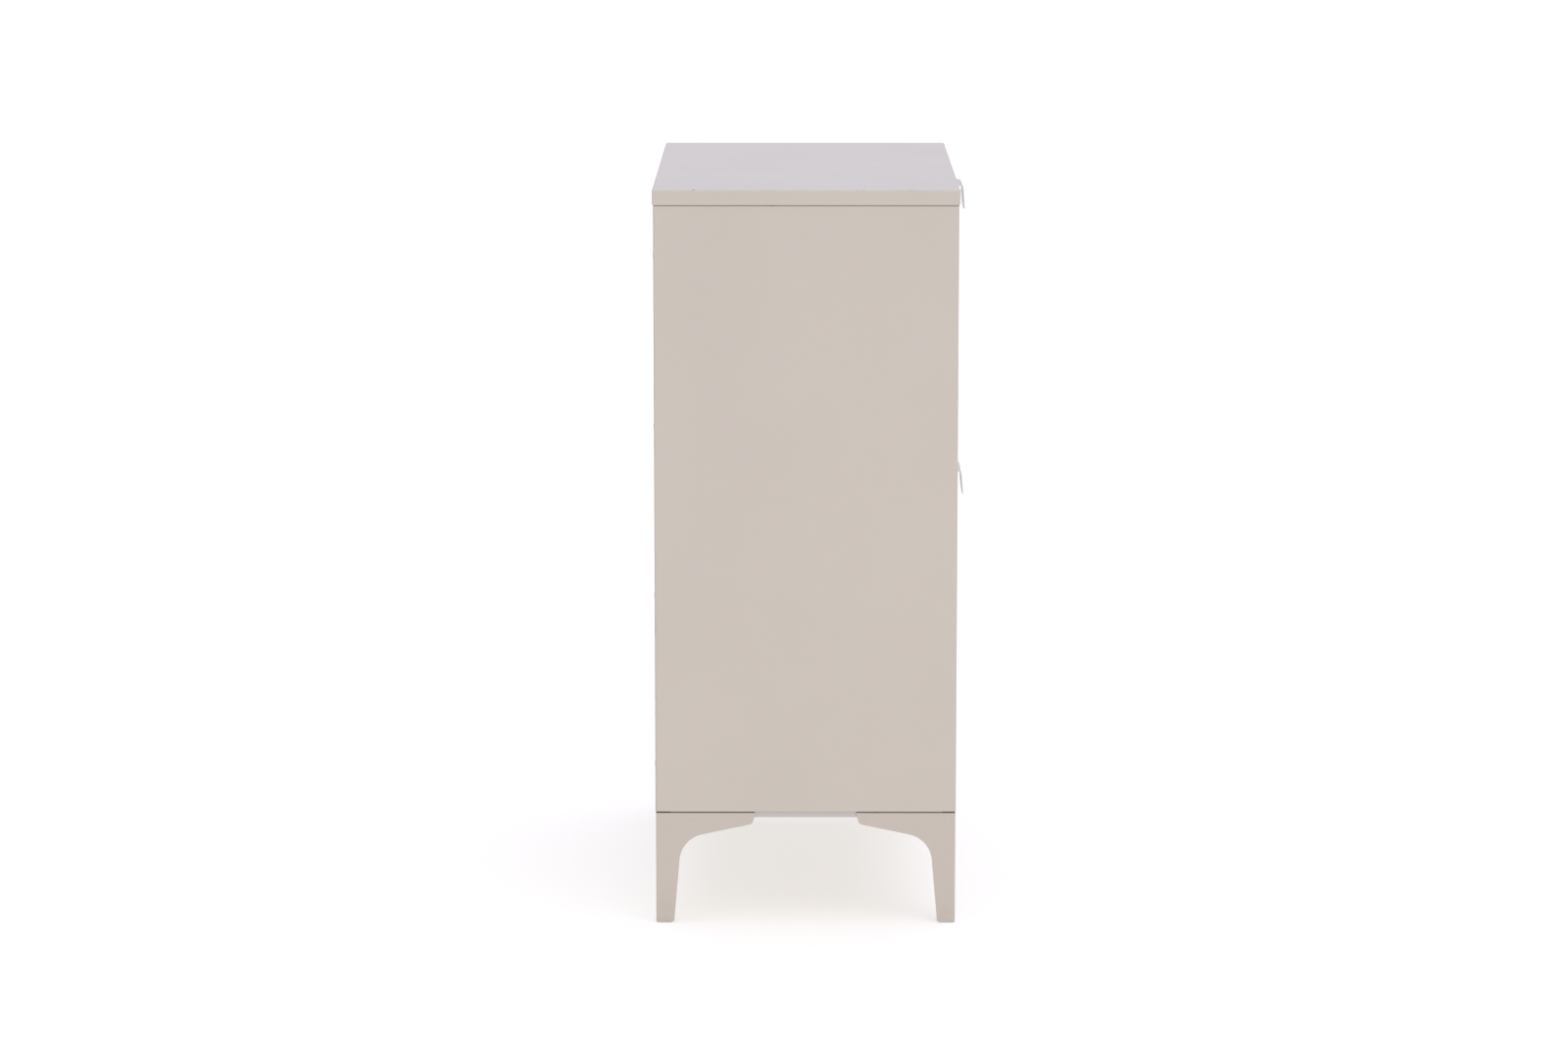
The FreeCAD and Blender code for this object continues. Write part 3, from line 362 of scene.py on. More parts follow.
def powder_coat_group():
    """Baked powder paint: fine bumps, a slight orange peel and barely uneven colour."""
    tree, given, end = group_tree(
        "Powder Coat", "ShaderNodeTree",
        [
            ("Place", "NodeSocketVector", None),
            ("Paint", "NodeSocketColor", (0.6, 0.55, 0.5, 1)),
            ("Grain", "NodeSocketFloat", 0.0016),
            ("Gloss", "NodeSocketFloat", 0.5),
        ],
        [("Colour", "NodeSocketColor"), ("Roughness", "NodeSocketFloat"), ("Height", "NodeSocketFloat")],
    )
    peel_fineness, peel_share = 0.22, 0.4
    clouds_per_metre = 5.0
    fineness = calc(tree, "DIVIDE", 1.0, given["Grain"])
    fine = noise(tree, given["Place"], fineness, 3.0, 0.6)
    peel = noise(tree, given["Place"], calc(tree, "MULTIPLY", fineness, peel_fineness), 1.0)
    cloud = noise(tree, given["Place"], clouds_per_metre, 3.0)
    mottle = remap(tree, fine, 0.25, 0.75, 0.975, 1.02)
    brightness = calc(tree, "MULTIPLY", spread(tree, cloud, 0.985, 1.012), mottle)
    tone = add(tree, "ShaderNodeHueSaturation", {"Color": given["Paint"], "Value": brightness})
    rough = calc(tree, "ADD", spread(tree, cloud, 0.06, -0.04), spread(tree, fine, -0.03, 0.05))
    rough = calc(tree, "SUBTRACT", rough, calc(tree, "SUBTRACT", given["Gloss"], 1.0), clamp=True)
    height = calc(
        tree, "ADD",
        calc(tree, "MULTIPLY", fine, 1 - peel_share), calc(tree, "MULTIPLY", peel, peel_share),
    )
    tree.links.new(tone.outputs["Color"], end.inputs["Colour"])
    tree.links.new(rough, end.inputs["Roughness"])
    tree.links.new(height, end.inputs["Height"])
    return tree


def edge_wear_group():
    """A mask of the places along a box's edges where paint has rubbed off."""
    tree, given, end = group_tree(
        "Edge Wear", "ShaderNodeTree",
        [
            ("Place", "NodeSocketVector", None),
            ("Low Corner", "NodeSocketVector", None),
            ("High Corner", "NodeSocketVector", None),
            ("Reach", "NodeSocketFloat", 0.002),
            ("Amount", "NodeSocketFloat", 0.5),
        ],
        [("Mask", "NodeSocketFloat")],
    )
    from_low = vector_calc(tree, "SUBTRACT", given["Place"], given["Low Corner"])
    from_high = vector_calc(tree, "SUBTRACT", given["High Corner"], given["Place"])
    nearest = vector_calc(tree, "MINIMUM", from_low, from_high)
    apart = add(tree, "ShaderNodeSeparateXYZ", {"Vector": nearest}).outputs
    lesser = calc(tree, "MINIMUM", apart["X"], apart["Y"])
    greater = calc(tree, "MAXIMUM", apart["X"], apart["Y"])
    to_edge = calc(tree, "MAXIMUM", lesser, calc(tree, "MINIMUM", greater, apart["Z"]))
    chips_per_metre, patches_per_metre = 900.0, 26.0
    ragged = noise(tree, given["Place"], chips_per_metre, 3.0, 0.7)
    reach = calc(tree, "MULTIPLY", given["Reach"], remap(tree, ragged, 0.2, 0.8, 0.4, 1.6))
    close = calc(tree, "SUBTRACT", 1.0, calc(tree, "DIVIDE", to_edge, reach), clamp=True)
    patches = remap(tree, noise(tree, given["Place"], patches_per_metre, 4.0, 0.65), 0.60, 0.70)
    mask = calc(tree, "MULTIPLY", calc(tree, "MULTIPLY", close, patches), given["Amount"], clamp=True)
    tree.links.new(mask, end.inputs["Mask"])
    return tree


def floor_dust_group():
    """A mask of dust and scuffs that fades out above the floor."""
    tree, given, end = group_tree(
        "Floor Dust", "ShaderNodeTree",
        [("Place", "NodeSocketVector", None), ("Height", "NodeSocketFloat", 0.05)],
        [("Mask", "NodeSocketFloat")],
    )
    height = add(tree, "ShaderNodeSeparateXYZ", {"Vector": given["Place"]}).outputs["Z"]
    fade = calc(tree, "SUBTRACT", 1.0, calc(tree, "DIVIDE", height, given["Height"]), clamp=True)
    blotches_per_metre = 60.0
    blotches = noise(tree, given["Place"], blotches_per_metre, 5.0, 0.65)
    blotches = remap(tree, blotches, 0.35, 0.75, 0.1, 1.0)
    mask = calc(tree, "MULTIPLY", calc(tree, "MULTIPLY", fade, fade), blotches)
    tree.links.new(mask, end.inputs["Mask"])
    return tree


def brushed_group():
    """Metal with fine parallel scratches. Stretch is small along the scratches and large across."""
    tree, given, end = group_tree(
        "Brushed Metal", "ShaderNodeTree",
        [
            ("Place", "NodeSocketVector", None),
            ("Metal", "NodeSocketColor", (0.6, 0.6, 0.6, 1)),
            ("Stretch", "NodeSocketVector", (40.0, 2400.0, 2400.0)),
            ("Gloss", "NodeSocketFloat", 0.6),
        ],
        [("Colour", "NodeSocketColor"), ("Roughness", "NodeSocketFloat"), ("Height", "NodeSocketFloat")],
    )
    drawn = vector_calc(tree, "MULTIPLY", given["Place"], given["Stretch"])
    scratches = noise(tree, drawn, 1.0, 4.0, 0.65)
    hazes_per_metre = 45.0
    haze = noise(tree, given["Place"], hazes_per_metre, 3.0)
    streaks = remap(tree, scratches, 0.25, 0.75, 0.90, 1.06)
    brightness = calc(tree, "MULTIPLY", streaks, spread(tree, haze, 0.96, 1.03))
    tone = add(tree, "ShaderNodeHueSaturation", {"Color": given["Metal"], "Value": brightness})
    rough = calc(tree, "ADD", spread(tree, scratches, -0.05, 0.07), spread(tree, haze, -0.03, 0.06))
    rough = calc(tree, "SUBTRACT", rough, calc(tree, "SUBTRACT", given["Gloss"], 1.0), clamp=True)
    tree.links.new(tone.outputs["Color"], end.inputs["Colour"])
    tree.links.new(rough, end.inputs["Roughness"])
    tree.links.new(scratches, end.inputs["Height"])
    return tree


def moulded_group():
    """Moulded plastic or rubber: an even fine grain with faint flow marks."""
    tree, given, end = group_tree(
        "Moulded Grain", "ShaderNodeTree",
        [("Place", "NodeSocketVector", None), ("Plastic", "NodeSocketColor", (0.05, 0.05, 0.05, 1))],
        [("Colour", "NodeSocketColor"), ("Roughness", "NodeSocketFloat"), ("Height", "NodeSocketFloat")],
    )
    grains_per_metre, flow_marks_per_metre = 1500.0, 130.0
    grain = noise(tree, given["Place"], grains_per_metre, 2.0)
    flow = noise(tree, given["Place"], flow_marks_per_metre, 3.0)
    brightness = spread(tree, flow, 0.85, 1.15)
    tone = add(tree, "ShaderNodeHueSaturation", {"Color": given["Plastic"], "Value": brightness})
    tree.links.new(tone.outputs["Color"], end.inputs["Colour"])
    tree.links.new(spread(tree, grain, 0.48, 0.66), end.inputs["Roughness"])
    tree.links.new(grain, end.inputs["Height"])
    return tree


GROUP_MAKERS = {
    "Powder Coat": powder_coat_group,
    "Edge Wear": edge_wear_group,
    "Floor Dust": floor_dust_group,
    "Brushed Metal": brushed_group,
    "Moulded Grain": moulded_group,
}


def effect(tree, name, inputs):
    """A shared group, made the first time that it is asked for, placed in a material."""
    shared = bpy.data.node_groups.get(name) or GROUP_MAKERS[name]()
    made = tree.nodes.new("ShaderNodeGroup")
    made.node_tree = shared
    for label, given in inputs.items():
        if isinstance(given, bpy.types.NodeSocket):
            tree.links.new(given, made.inputs[label])
        else:
            made.inputs[label].default_value = given
    return made.outputs


# ---------------------------------------------------------------- materials


def new_material(name):
    """An empty material: its tree, its shader and the object coordinates."""
    made = bpy.data.materials.new(name)
    made.use_nodes = True
    tree = made.node_tree
    shader = tree.nodes["Principled BSDF"]
    place = tree.nodes.new("ShaderNodeTexCoord").outputs["Object"]
    return made, tree, shader, place


def feed(tree, shader, colour, roughness, height, relief):
    """Joins a finish to its shader. relief is the depth of its bumps in metres."""
    bump = add(tree, "ShaderNodeBump", {"Height": height, "Distance": relief})
    tree.links.new(colour, shader.inputs["Base Color"])
    tree.links.new(roughness, shader.inputs["Roughness"])
    tree.links.new(bump.outputs["Normal"], shader.inputs["Normal"])


def painted(name, paint, box=None, gloss=0.5, relief=0.00012, dust=0.0, chip=None, bare_below=None):
    """Powder-coated sheet. A box gives it worn edges, dust a dusty foot, and chip a bare spot.

    bare_below is the height at which the sprayed paint thins out to the primer under it.
    """
    settings = bpy.context.scene.cabinet_finish
    rubbed_shine, dust_dulling = 0.15, 0.25
    waves_per_metre, notches_per_metre = 35.0, 1400.0
    made, tree, shader, place = new_material(name)
    coat = effect(
        tree, "Powder Coat",
        {"Place": place, "Paint": opaque(paint), "Grain": settings.grain, "Gloss": gloss},
    )
    colour, roughness = coat["Colour"], coat["Roughness"]
    if bare_below:
        height = add(tree, "ShaderNodeSeparateXYZ", {"Vector": place}).outputs["Z"]
        drift = 1.5 * MILLI
        wavy = noise(tree, place, waves_per_metre, 3.0)
        level = calc(tree, "ADD", height, spread(tree, wavy, -drift, drift))
        sprayed = remap(tree, level, bare_below - settings.spray_fade, bare_below + settings.spray_fade)
        colour = mix_colours(tree, sprayed, opaque(settings.primer), colour)
    if box:
        worn = effect(
            tree, "Edge Wear",
            {"Place": place, "Low Corner": box[0], "High Corner": box[1], "Amount": settings.wear},
        )["Mask"]
        colour = mix_colours(tree, worn, colour, opaque(settings.rubbed))
        roughness = calc(tree, "SUBTRACT", roughness, calc(tree, "MULTIPLY", worn, rubbed_shine))
    if chip:
        away = add(tree, "ShaderNodeVectorMath", operation="DISTANCE")
        tree.links.new(place, away.inputs[0])
        away.inputs[1].default_value = chip
        ragged = spread(tree, noise(tree, place, notches_per_metre, 2.0), 0.5, 1.5)
        reach = calc(tree, "MULTIPLY", ragged, settings.chip_size)
        bare = calc(tree, "LESS_THAN", away.outputs["Value"], reach)
        colour = mix_colours(tree, bare, colour, opaque(settings.chipped))
    if dust:
        dusty = effect(tree, "Floor Dust", {"Place": place, "Height": dust})["Mask"]
        cover = calc(tree, "MULTIPLY", dusty, settings.dust_cover)
        colour = mix_colours(tree, cover, colour, opaque(settings.dust))
        dulled = calc(tree, "MULTIPLY", dusty, dust_dulling)
        roughness = calc(tree, "ADD", roughness, dulled, clamp=True)
    feed(tree, shader, colour, roughness, coat["Height"], relief)
    shader.inputs["Specular IOR Level"].default_value = 0.45
    shader.inputs["Coat Weight"].default_value = 0.5
    shader.inputs["Coat Roughness"].default_value = 0.3
    return made


def brushed(name, metal, stretch, gloss, relief=0.00003):
    made, tree, shader, place = new_material(name)
    bare = effect(
        tree, "Brushed Metal",
        {"Place": place, "Metal": opaque(metal), "Stretch": stretch, "Gloss": gloss},
    )
    feed(tree, shader, bare["Colour"], bare["Roughness"], bare["Height"], relief)
    shader.inputs["Metallic"].default_value = 1.0
    return made


def moulded(name, plastic, relief=0.00005):
    made, tree, shader, place = new_material(name)
    cast = effect(tree, "Moulded Grain", {"Place": place, "Plastic": opaque(plastic)})
    feed(tree, shader, cast["Colour"], cast["Roughness"], cast["Height"], relief)
    return made


def material(name, maker, *values, **more):
    """The material of that name, made the first time that it is asked for."""
    return bpy.data.materials.get(name) or maker(name, *values, **more)


def tray_paint():
    return material("tray_powder_coat", painted, bpy.context.scene.cabinet_finish.inner_paint, gloss=0.55)


def plated_screw():
    zinc = bpy.context.scene.cabinet_finish.zinc
    return material("zinc_screw", brushed, zinc, TUMBLED_SCREW, 0.66)


def wear(node, finish):
    """A packed node takes a finish on its object, and its mesh stays as it is."""
    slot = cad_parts[node].material_slots[0]
    slot.link = "OBJECT"
    slot.material = finish


# ---------------------------------------------------------------- mesh helpers


def piece_from(name, mesh, finish, body, replaced=()):
    """An object at the origin that rides on a body and wears one finish."""
    made = bpy.data.objects.new(name, mesh)
    bpy.context.scene.collection.objects.link(made)
    if not mesh.materials:
        mesh.materials.append(finish)
    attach(made, body)
    for node in replaced:
        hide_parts(node)
    return made


def settled(mesh, name, *modifiers):
    """The mesh after its modifiers, with smooth shading that stops at sharp edges."""
    maker = bpy.data.objects.new(name, mesh)
    bpy.context.scene.collection.objects.link(maker)
    for kind, values in modifiers:
        modifier = maker.modifiers.new(kind.title(), kind)
        for label, given in values.items():
            setattr(modifier, label, given)
    graph = bpy.context.evaluated_depsgraph_get()
    result = bpy.data.meshes.new_from_object(maker.evaluated_get(graph), depsgraph=graph)
    result.name = name
    bpy.data.objects.remove(maker)
    smooth_faces(result)
    return result


def smooth_faces(mesh, angle=math.radians(40)):
    mesh.shade_smooth()
    mesh.set_sharp_from_angle(angle=angle)


def mesh_from(build, name):
    """A mesh whose faces, added by build(bm), all point outwards."""
    bm = bmesh.new()
    build(bm)
    bmesh.ops.recalc_face_normals(bm, faces=bm.faces)
    mesh = bpy.data.meshes.new(name)
    bm.to_mesh(mesh)
    bm.free()
    return mesh


def prism(bm, outline, spread):
    """A closed solid: the outline's points, each moved to both ends of its thickness."""
    ends = [[bm.verts.new(spread(point, end)) for point in outline] for end in (0, 1)]
    bm.faces.new(reversed(ends[0]))
    bm.faces.new(ends[1])
    count = len(outline)
    for i in range(count):
        j = (i + 1) % count
        bm.faces.new((ends[0][i], ends[0][j], ends[1][j], ends[1][i]))


def turned(bm, middle, way, outline, nose, sides=32):
    """A closed solid turned round an axis. outline is (radius, height) pairs up to a point at nose."""
    aside = way.orthogonal().normalized()
    spokes = [Matrix.Rotation(math.tau * i / sides, 3, way) @ aside for i in range(sides)]
    rings = []
    for radius, height in outline:
        rings.append([bm.verts.new(middle + way * height + spoke * radius) for spoke in spokes])
    bm.faces.new(rings[0])
    tip = bm.verts.new(middle + way * nose)
    for i in range(sides):
        j = (i + 1) % sides
        for below, above in zip(rings, rings[1:]):
            bm.faces.new((below[i], below[j], above[j], above[i]))
        bm.faces.new((rings[-1][i], rings[-1][j], tip))


def solids_of(node):
    """The corner points of each separate solid of a packed node."""
    bm = bmesh.new()
    bm.from_mesh(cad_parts[node].data)
    bmesh.ops.remove_doubles(bm, verts=bm.verts, dist=1e-6)
    waiting = set(bm.verts)
    found = []
    while waiting:
        edge_of_reach = [waiting.pop()]
        solid = []
        while edge_of_reach:
            vert = edge_of_reach.pop()
            solid.append(vert.co.copy())
            for edge in vert.link_edges:
                other = edge.other_vert(vert)
                if other in waiting:
                    waiting.discard(other)
                    edge_of_reach.append(other)
        found.append(solid)
    bm.free()
    return sorted(found, key=lambda points: tuple(round(v, 5) for v in points_box(points)[0]))


def points_box(points):
    low = Vector(min(p[i] for p in points) for i in range(3))
    high = Vector(max(p[i] for p in points) for i in range(3))
    return low, high


# ---------------------------------------------------------------- pulls


def bent_line(runs, step):
    """Points and outward directions along a strip that is bent as on a press.

    runs is a list of (length, turn, radius): straight ahead, then a bend through that angle.
    The line starts at the origin and heads up, and turns towards -Y.
    """
    y, z, heading = 0.0, 0.0, 0.0
    travelled = 0.0
    line = [(travelled, y, z, heading)]
    for length, turn, radius in runs:
        pieces = max(1, math.ceil(length / step))
        for _ in range(pieces):
            y -= math.sin(heading) * length / pieces
            z += math.cos(heading) * length / pieces
            travelled += length / pieces
            line.append((travelled, y, z, heading))
        if turn:
            parts = max(6, math.ceil(math.degrees(turn) / 7.5))
            chord = 2 * radius * math.sin(turn / parts / 2)
            for _ in range(parts):
                along = heading + turn / parts / 2
                y -= math.sin(along) * chord
                z += math.cos(along) * chord
                heading += turn / parts
                travelled += radius * turn / parts
                line.append((travelled, y, z, heading))
    return line


def rounded_half(half, corner, left):
    """Half the width of a strip, left metres before an end with rounded corners."""
    if left >= corner:
        return half
    return half - corner + math.sqrt(max(0.0, corner**2 - (corner - left) ** 2))


def pull_mesh(drawer, sizes):
    """A strip of sheet with rounded corners, folded over a drawer front's top edge."""
    low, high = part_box(f"pull_{drawer}")
    half = (high.x - low.x) / 2
    middle = (high.x + low.x) / 2
    drop = high.z - low.z
    lean = math.atan2(sizes.lean, drop)
    lip_turn = math.pi / 2 - lean
    lip_tangent = sizes.lip_bend * math.tan(lip_turn / 2)
    lip_corner = low.y + sizes.lean
    bridge = high.y - lip_corner - sizes.tab_bend - lip_tangent
    runs = [
        (sizes.tab_height - sizes.tab_bend, math.pi / 2, sizes.tab_bend),
        (bridge, lip_turn, sizes.lip_bend),
        (drop / math.cos(lean) - lip_tangent - sizes.corner, 0, 0),
    ]
    line = bent_line(runs, 2 * MILLI)
    end_heading = line[-1][3]
    turns = 10
    total = line[-1][0] + sizes.corner
    for i in range(1, turns + 1):
        left = sizes.corner * (1 - math.sin(math.pi / 2 * i / turns))
        travelled = total - left
        ahead = travelled - line[-1][0]
        y = line[-1][1] - math.sin(end_heading) * ahead
        z = line[-1][2] + math.cos(end_heading) * ahead
        line.append((travelled, y, z, end_heading))
    start = Vector((0, high.y, high.z - sizes.tab_height))

    def build(bm):
        columns = 25
        skins = []
        for depth in (0.0, sizes.sheet):
            rows = []
            for travelled, y, z, heading in line:
                inward = Vector((0, -math.cos(heading), -math.sin(heading))) * depth
                wide = rounded_half(half, sizes.corner, total - travelled)
                wide = min(wide, rounded_half(half, sizes.tab_corner, travelled))
                row = []
                for c in range(columns):
                    x = middle + wide * (2 * c / (columns - 1) - 1)
                    row.append(bm.verts.new(start + Vector((x, y, z)) + inward))
                rows.append(row)
            skins.append(rows)
        outer, inner = skins
        last = len(line) - 1
        for r in range(last):
            for c in range(columns - 1):
                for rows in skins:
                    bm.faces.new((rows[r][c], rows[r][c + 1], rows[r + 1][c + 1], rows[r + 1][c]))
            for c in (0, columns - 1):
                bm.faces.new((outer[r][c], outer[r + 1][c], inner[r + 1][c], inner[r][c]))
        for r in (0, last):
            for c in range(columns - 1):
                bm.faces.new((outer[r][c], outer[r][c + 1], inner[r][c + 1], inner[r][c]))

    flat = mesh_from(build, f"pull_{drawer}_strip")
    edges = math.radians(60)
    rounding = {"width": sizes.edge, "segments": 3, "limit_method": "ANGLE", "angle_limit": edges}
    return settled(flat, f"pull_{drawer}_sheet", ("BEVEL", rounding))


# ---------------------------------------------------------------- fasteners


# Shares of a head's height that its recess goes down, and of a shank's length that its middle lies
# below its seat: a hair under half, so that it meets the head.
RECESS_DEPTH = 0.62
SHANK_DROP = 0.4999


def cross_recess(tree, reach, depth):
    """Two crossed slots for a driver."""
    slots = []
    span, width = 2.0, 0.42
    for long_side, short_side in ((span, width), (width, span)):
        size = add(
            tree, "ShaderNodeCombineXYZ",
            {
                "X": calc(tree, "MULTIPLY", reach, long_side),
                "Y": calc(tree, "MULTIPLY", reach, short_side),
                "Z": calc(tree, "MULTIPLY", depth, 2.0),
            },
        ).outputs["Vector"]
        slots.append(add(tree, "GeometryNodeMeshCube", {"Size": size}).outputs["Mesh"])
    return slots


def hexagon_recess(tree, reach, depth):
    """A six-sided socket for a key."""
    made = add(
        tree, "GeometryNodeMeshCylinder",
        {"Vertices": 6, "Radius": reach, "Depth": calc(tree, "MULTIPLY", depth, 2.0)},
    )
    return [made.outputs["Mesh"]]


def fastener_tree(name, recess=None):
    """Domed heads with shanks, one at each point, each facing the way that its point says."""
    tree, given, end = group_tree(
        name, "GeometryNodeTree",
        [
            ("Geometry", "NodeSocketGeometry", None),
            ("Head Radius", "NodeSocketFloat", 0.0038),
            ("Head Height", "NodeSocketFloat", 0.0014),
            ("Dome", "NodeSocketFloat", 0.5),
            ("Shank Radius", "NodeSocketFloat", 0.002),
            ("Shank Length", "NodeSocketFloat", 0.005),
            ("Recess Reach", "NodeSocketFloat", 0.6),
            ("Seed", "NodeSocketInt", 7),
            ("Finish", "NodeSocketMaterial", None),
        ],
        [("Geometry", "NodeSocketGeometry")],
    )
    height, radius = given["Head Height"], given["Head Radius"]
    head = add(
        tree, "GeometryNodeMeshCylinder",
        {"Vertices": 28, "Fill Segments": 4, "Radius": radius, "Depth": height},
        fill_type="TRIANGLE_FAN",
    ).outputs["Mesh"]
    position = tree.nodes.new("GeometryNodeInputPosition").outputs[0]
    spot = add(tree, "ShaderNodeSeparateXYZ", {"Vector": position}).outputs
    squares = [calc(tree, "MULTIPLY", side, side) for side in (spot["X"], spot["Y"], radius)]
    share = calc(tree, "DIVIDE", calc(tree, "ADD", squares[0], squares[1]), squares[2])
    fall = calc(tree, "MULTIPLY", calc(tree, "MULTIPLY", share, height), given["Dome"])
    sunk = add(tree, "ShaderNodeCombineXYZ", {"Z": calc(tree, "MULTIPLY", fall, -1.0)}).outputs["Vector"]
    compare = add(tree, "FunctionNodeCompare", {"A": spot["Z"], "B": 0.0}, operation="GREATER_THAN")
    on_top = compare.outputs["Result"]
    domed = add(tree, "GeometryNodeSetPosition", {"Geometry": head, "Selection": on_top, "Offset": sunk})
    lift = add(tree, "ShaderNodeCombineXYZ", {"Z": calc(tree, "MULTIPLY", height, 0.5)}).outputs["Vector"]
    lifted = {"Geometry": domed.outputs[0], "Translation": lift}
    seated = add(tree, "GeometryNodeTransform", lifted).outputs[0]
    if recess:
        depth = calc(tree, "MULTIPLY", height, RECESS_DEPTH)
        tools = recess(tree, calc(tree, "MULTIPLY", radius, given["Recess Reach"]), depth)
        up = add(tree, "ShaderNodeCombineXYZ", {"Z": height}).outputs["Vector"]
        carve = add(
            tree, "GeometryNodeMeshBoolean", {"Mesh 1": seated}, operation="DIFFERENCE", solver="MANIFOLD"
        )
        for tool in tools:
            raised = add(tree, "GeometryNodeTransform", {"Geometry": tool, "Translation": up}).outputs[0]
            tree.links.new(raised, carve.inputs["Mesh 2"])
        seated = carve.outputs["Mesh"]
    shank = add(
        tree, "GeometryNodeMeshCylinder",
        {"Vertices": 16, "Radius": given["Shank Radius"], "Depth": given["Shank Length"]},
    ).outputs["Mesh"]
    drop = calc(tree, "MULTIPLY", given["Shank Length"], -SHANK_DROP)
    down = add(tree, "ShaderNodeCombineXYZ", {"Z": drop}).outputs["Vector"]
    shank = add(tree, "GeometryNodeTransform", {"Geometry": shank, "Translation": down}).outputs[0]
    whole = tree.nodes.new("GeometryNodeJoinGeometry")
    for part in (seated, shank):
        tree.links.new(part, whole.inputs[0])
    facing = add(tree, "GeometryNodeInputNamedAttribute", {"Name": "facing"}, data_type="FLOAT_VECTOR")
    way = facing.outputs["Attribute"]
    aimed = add(tree, "FunctionNodeAlignRotationToVector", {"Vector": way}, axis="Z").outputs["Rotation"]
    chance = add(
        tree, "FunctionNodeRandomValue",
        {"Min": 0.0, "Max": math.tau, "Seed": given["Seed"]}, data_type="FLOAT",
    )
    chance = next(s for s in chance.outputs if s.identifier == "Value_001")
    spun = add(tree, "ShaderNodeCombineXYZ", {"Z": chance}).outputs["Vector"]
    spun = add(tree, "FunctionNodeEulerToRotation", {"Euler": spun}).outputs["Rotation"]
    rotation = add(
        tree, "FunctionNodeRotateRotation", {"Rotation": aimed, "Rotate By": spun}, rotation_space="LOCAL"
    ).outputs["Rotation"]
    placed = add(
        tree, "GeometryNodeInstanceOnPoints",
        {"Points": given["Geometry"], "Instance": whole.outputs[0], "Rotation": rotation},
    ).outputs["Instances"]
    real = add(tree, "GeometryNodeRealizeInstances", {"Geometry": placed}).outputs[0]
    done = add(tree, "GeometryNodeSetMaterial", {"Geometry": real, "Material": given["Finish"]}).outputs[0]
    tree.links.new(done, end.inputs["Geometry"])
    return tree


def fasteners(name, tree, seats, values, finish):
    """The mesh of a row of fasteners. seats is a list of (place, direction the head faces)."""
    points = bpy.data.meshes.new(name)
    points.from_pydata([seat for seat, _ in seats], [], [])
    facing = points.attributes.new("facing", "FLOAT_VECTOR", "POINT")
    for i, (_, direction) in enumerate(seats):
        facing.data[i].vector = direction
    maker = bpy.data.objects.new(name, points)
    bpy.context.scene.collection.objects.link(maker)
    modifier = maker.modifiers.new("Fasteners", "NODES")
    modifier.node_group = tree
    given = {**values, "Finish": finish}
    for socket in tree.interface.items_tree:
        if socket.in_out == "INPUT" and socket.name in given:
            modifier[socket.identifier] = given[socket.name]
    graph = bpy.context.evaluated_depsgraph_get()
    mesh = bpy.data.meshes.new_from_object(maker.evaluated_get(graph), depsgraph=graph)
    mesh.name = name
    bpy.data.objects.remove(maker)
    smooth_faces(mesh, math.radians(30))
    return mesh


def heads_of(node, axis):
    """The heads on a node's pins along an axis: (seat, facing), by (radius, height, shank length).

    The sizes are rounded to a tenth of a millimetre, so that like pins fall together.
    """
    kinds = {}
    at_rim, near_end = 0.95, 0.3
    across = [i for i in range(3) if i != axis]
    for points in solids_of(node):
        low, high = points_box(points)
        size = high - low
        if abs(size[across[0]] - size[across[1]]) > 0.1 * MILLI:
            continue
        middle = (low + high) / 2
        out = [math.hypot(*(point[i] - middle[i] for i in across)) for point in points]
        radius = max(out)
        rim = [point[axis] for point, far in zip(points, out) if far > at_rim * radius]
        heads = []
        for way, end in ((-1, low[axis]), (1, high[axis])):
            near = [level for level in rim if abs(level - end) < near_end * size[axis]]
            if near:
                heads.append((way, max(near) if way < 0 else min(near), max(near) - min(near)))
        shank = size[axis] - sum(height for _, _, height in heads)
        for way, level, height in heads:
            seat = middle.copy()
            seat[axis] = level
            facing = Vector((0, 0, 0))
            facing[axis] = way
            sizes = tuple(round(length, 4) for length in (radius, height, shank))
            kinds.setdefault(sizes, []).append((seat, facing))
    if not kinds:
        raise RuntimeError(f"{node} has no pin along axis {axis}")
    return sorted(kinds.items())


def style_tree(style):
    """The fastener tree with that driver recess, made the first time that it is asked for."""
    recess = {"cross": cross_recess, "hexagon": hexagon_recess, "plain": None}[style]
    name = f"{style.title()} Fasteners"
    return bpy.data.node_groups.get(name) or fastener_tree(name, recess)


def fitted(names, node, axis, style, body, finish):
    """Detailed fasteners in place of a packed node's pins, one name for each size, flattest first."""
    fittings = bpy.context.scene.cabinet_fittings
    kinds = heads_of(node, axis)
    if len(kinds) != len(names):
        raise RuntimeError(f"{node} has {len(kinds)} sizes of pin along axis {axis}, not {len(names)}")
    for name, ((radius, height, length), seats) in zip(names, kinds):
        values = {
            "Head Radius": radius,
            "Head Height": height,
            "Dome": fittings.dome,
            "Shank Radius": radius * fittings.shank,
            "Shank Length": length,
            "Recess Reach": fittings.recess,
            "Seed": len(name),
        }
        mesh = fasteners(name, style_tree(style), seats, values, finish)
        piece_from(name, mesh, finish, body, (node,))


# ---------------------------------------------------------------- operators


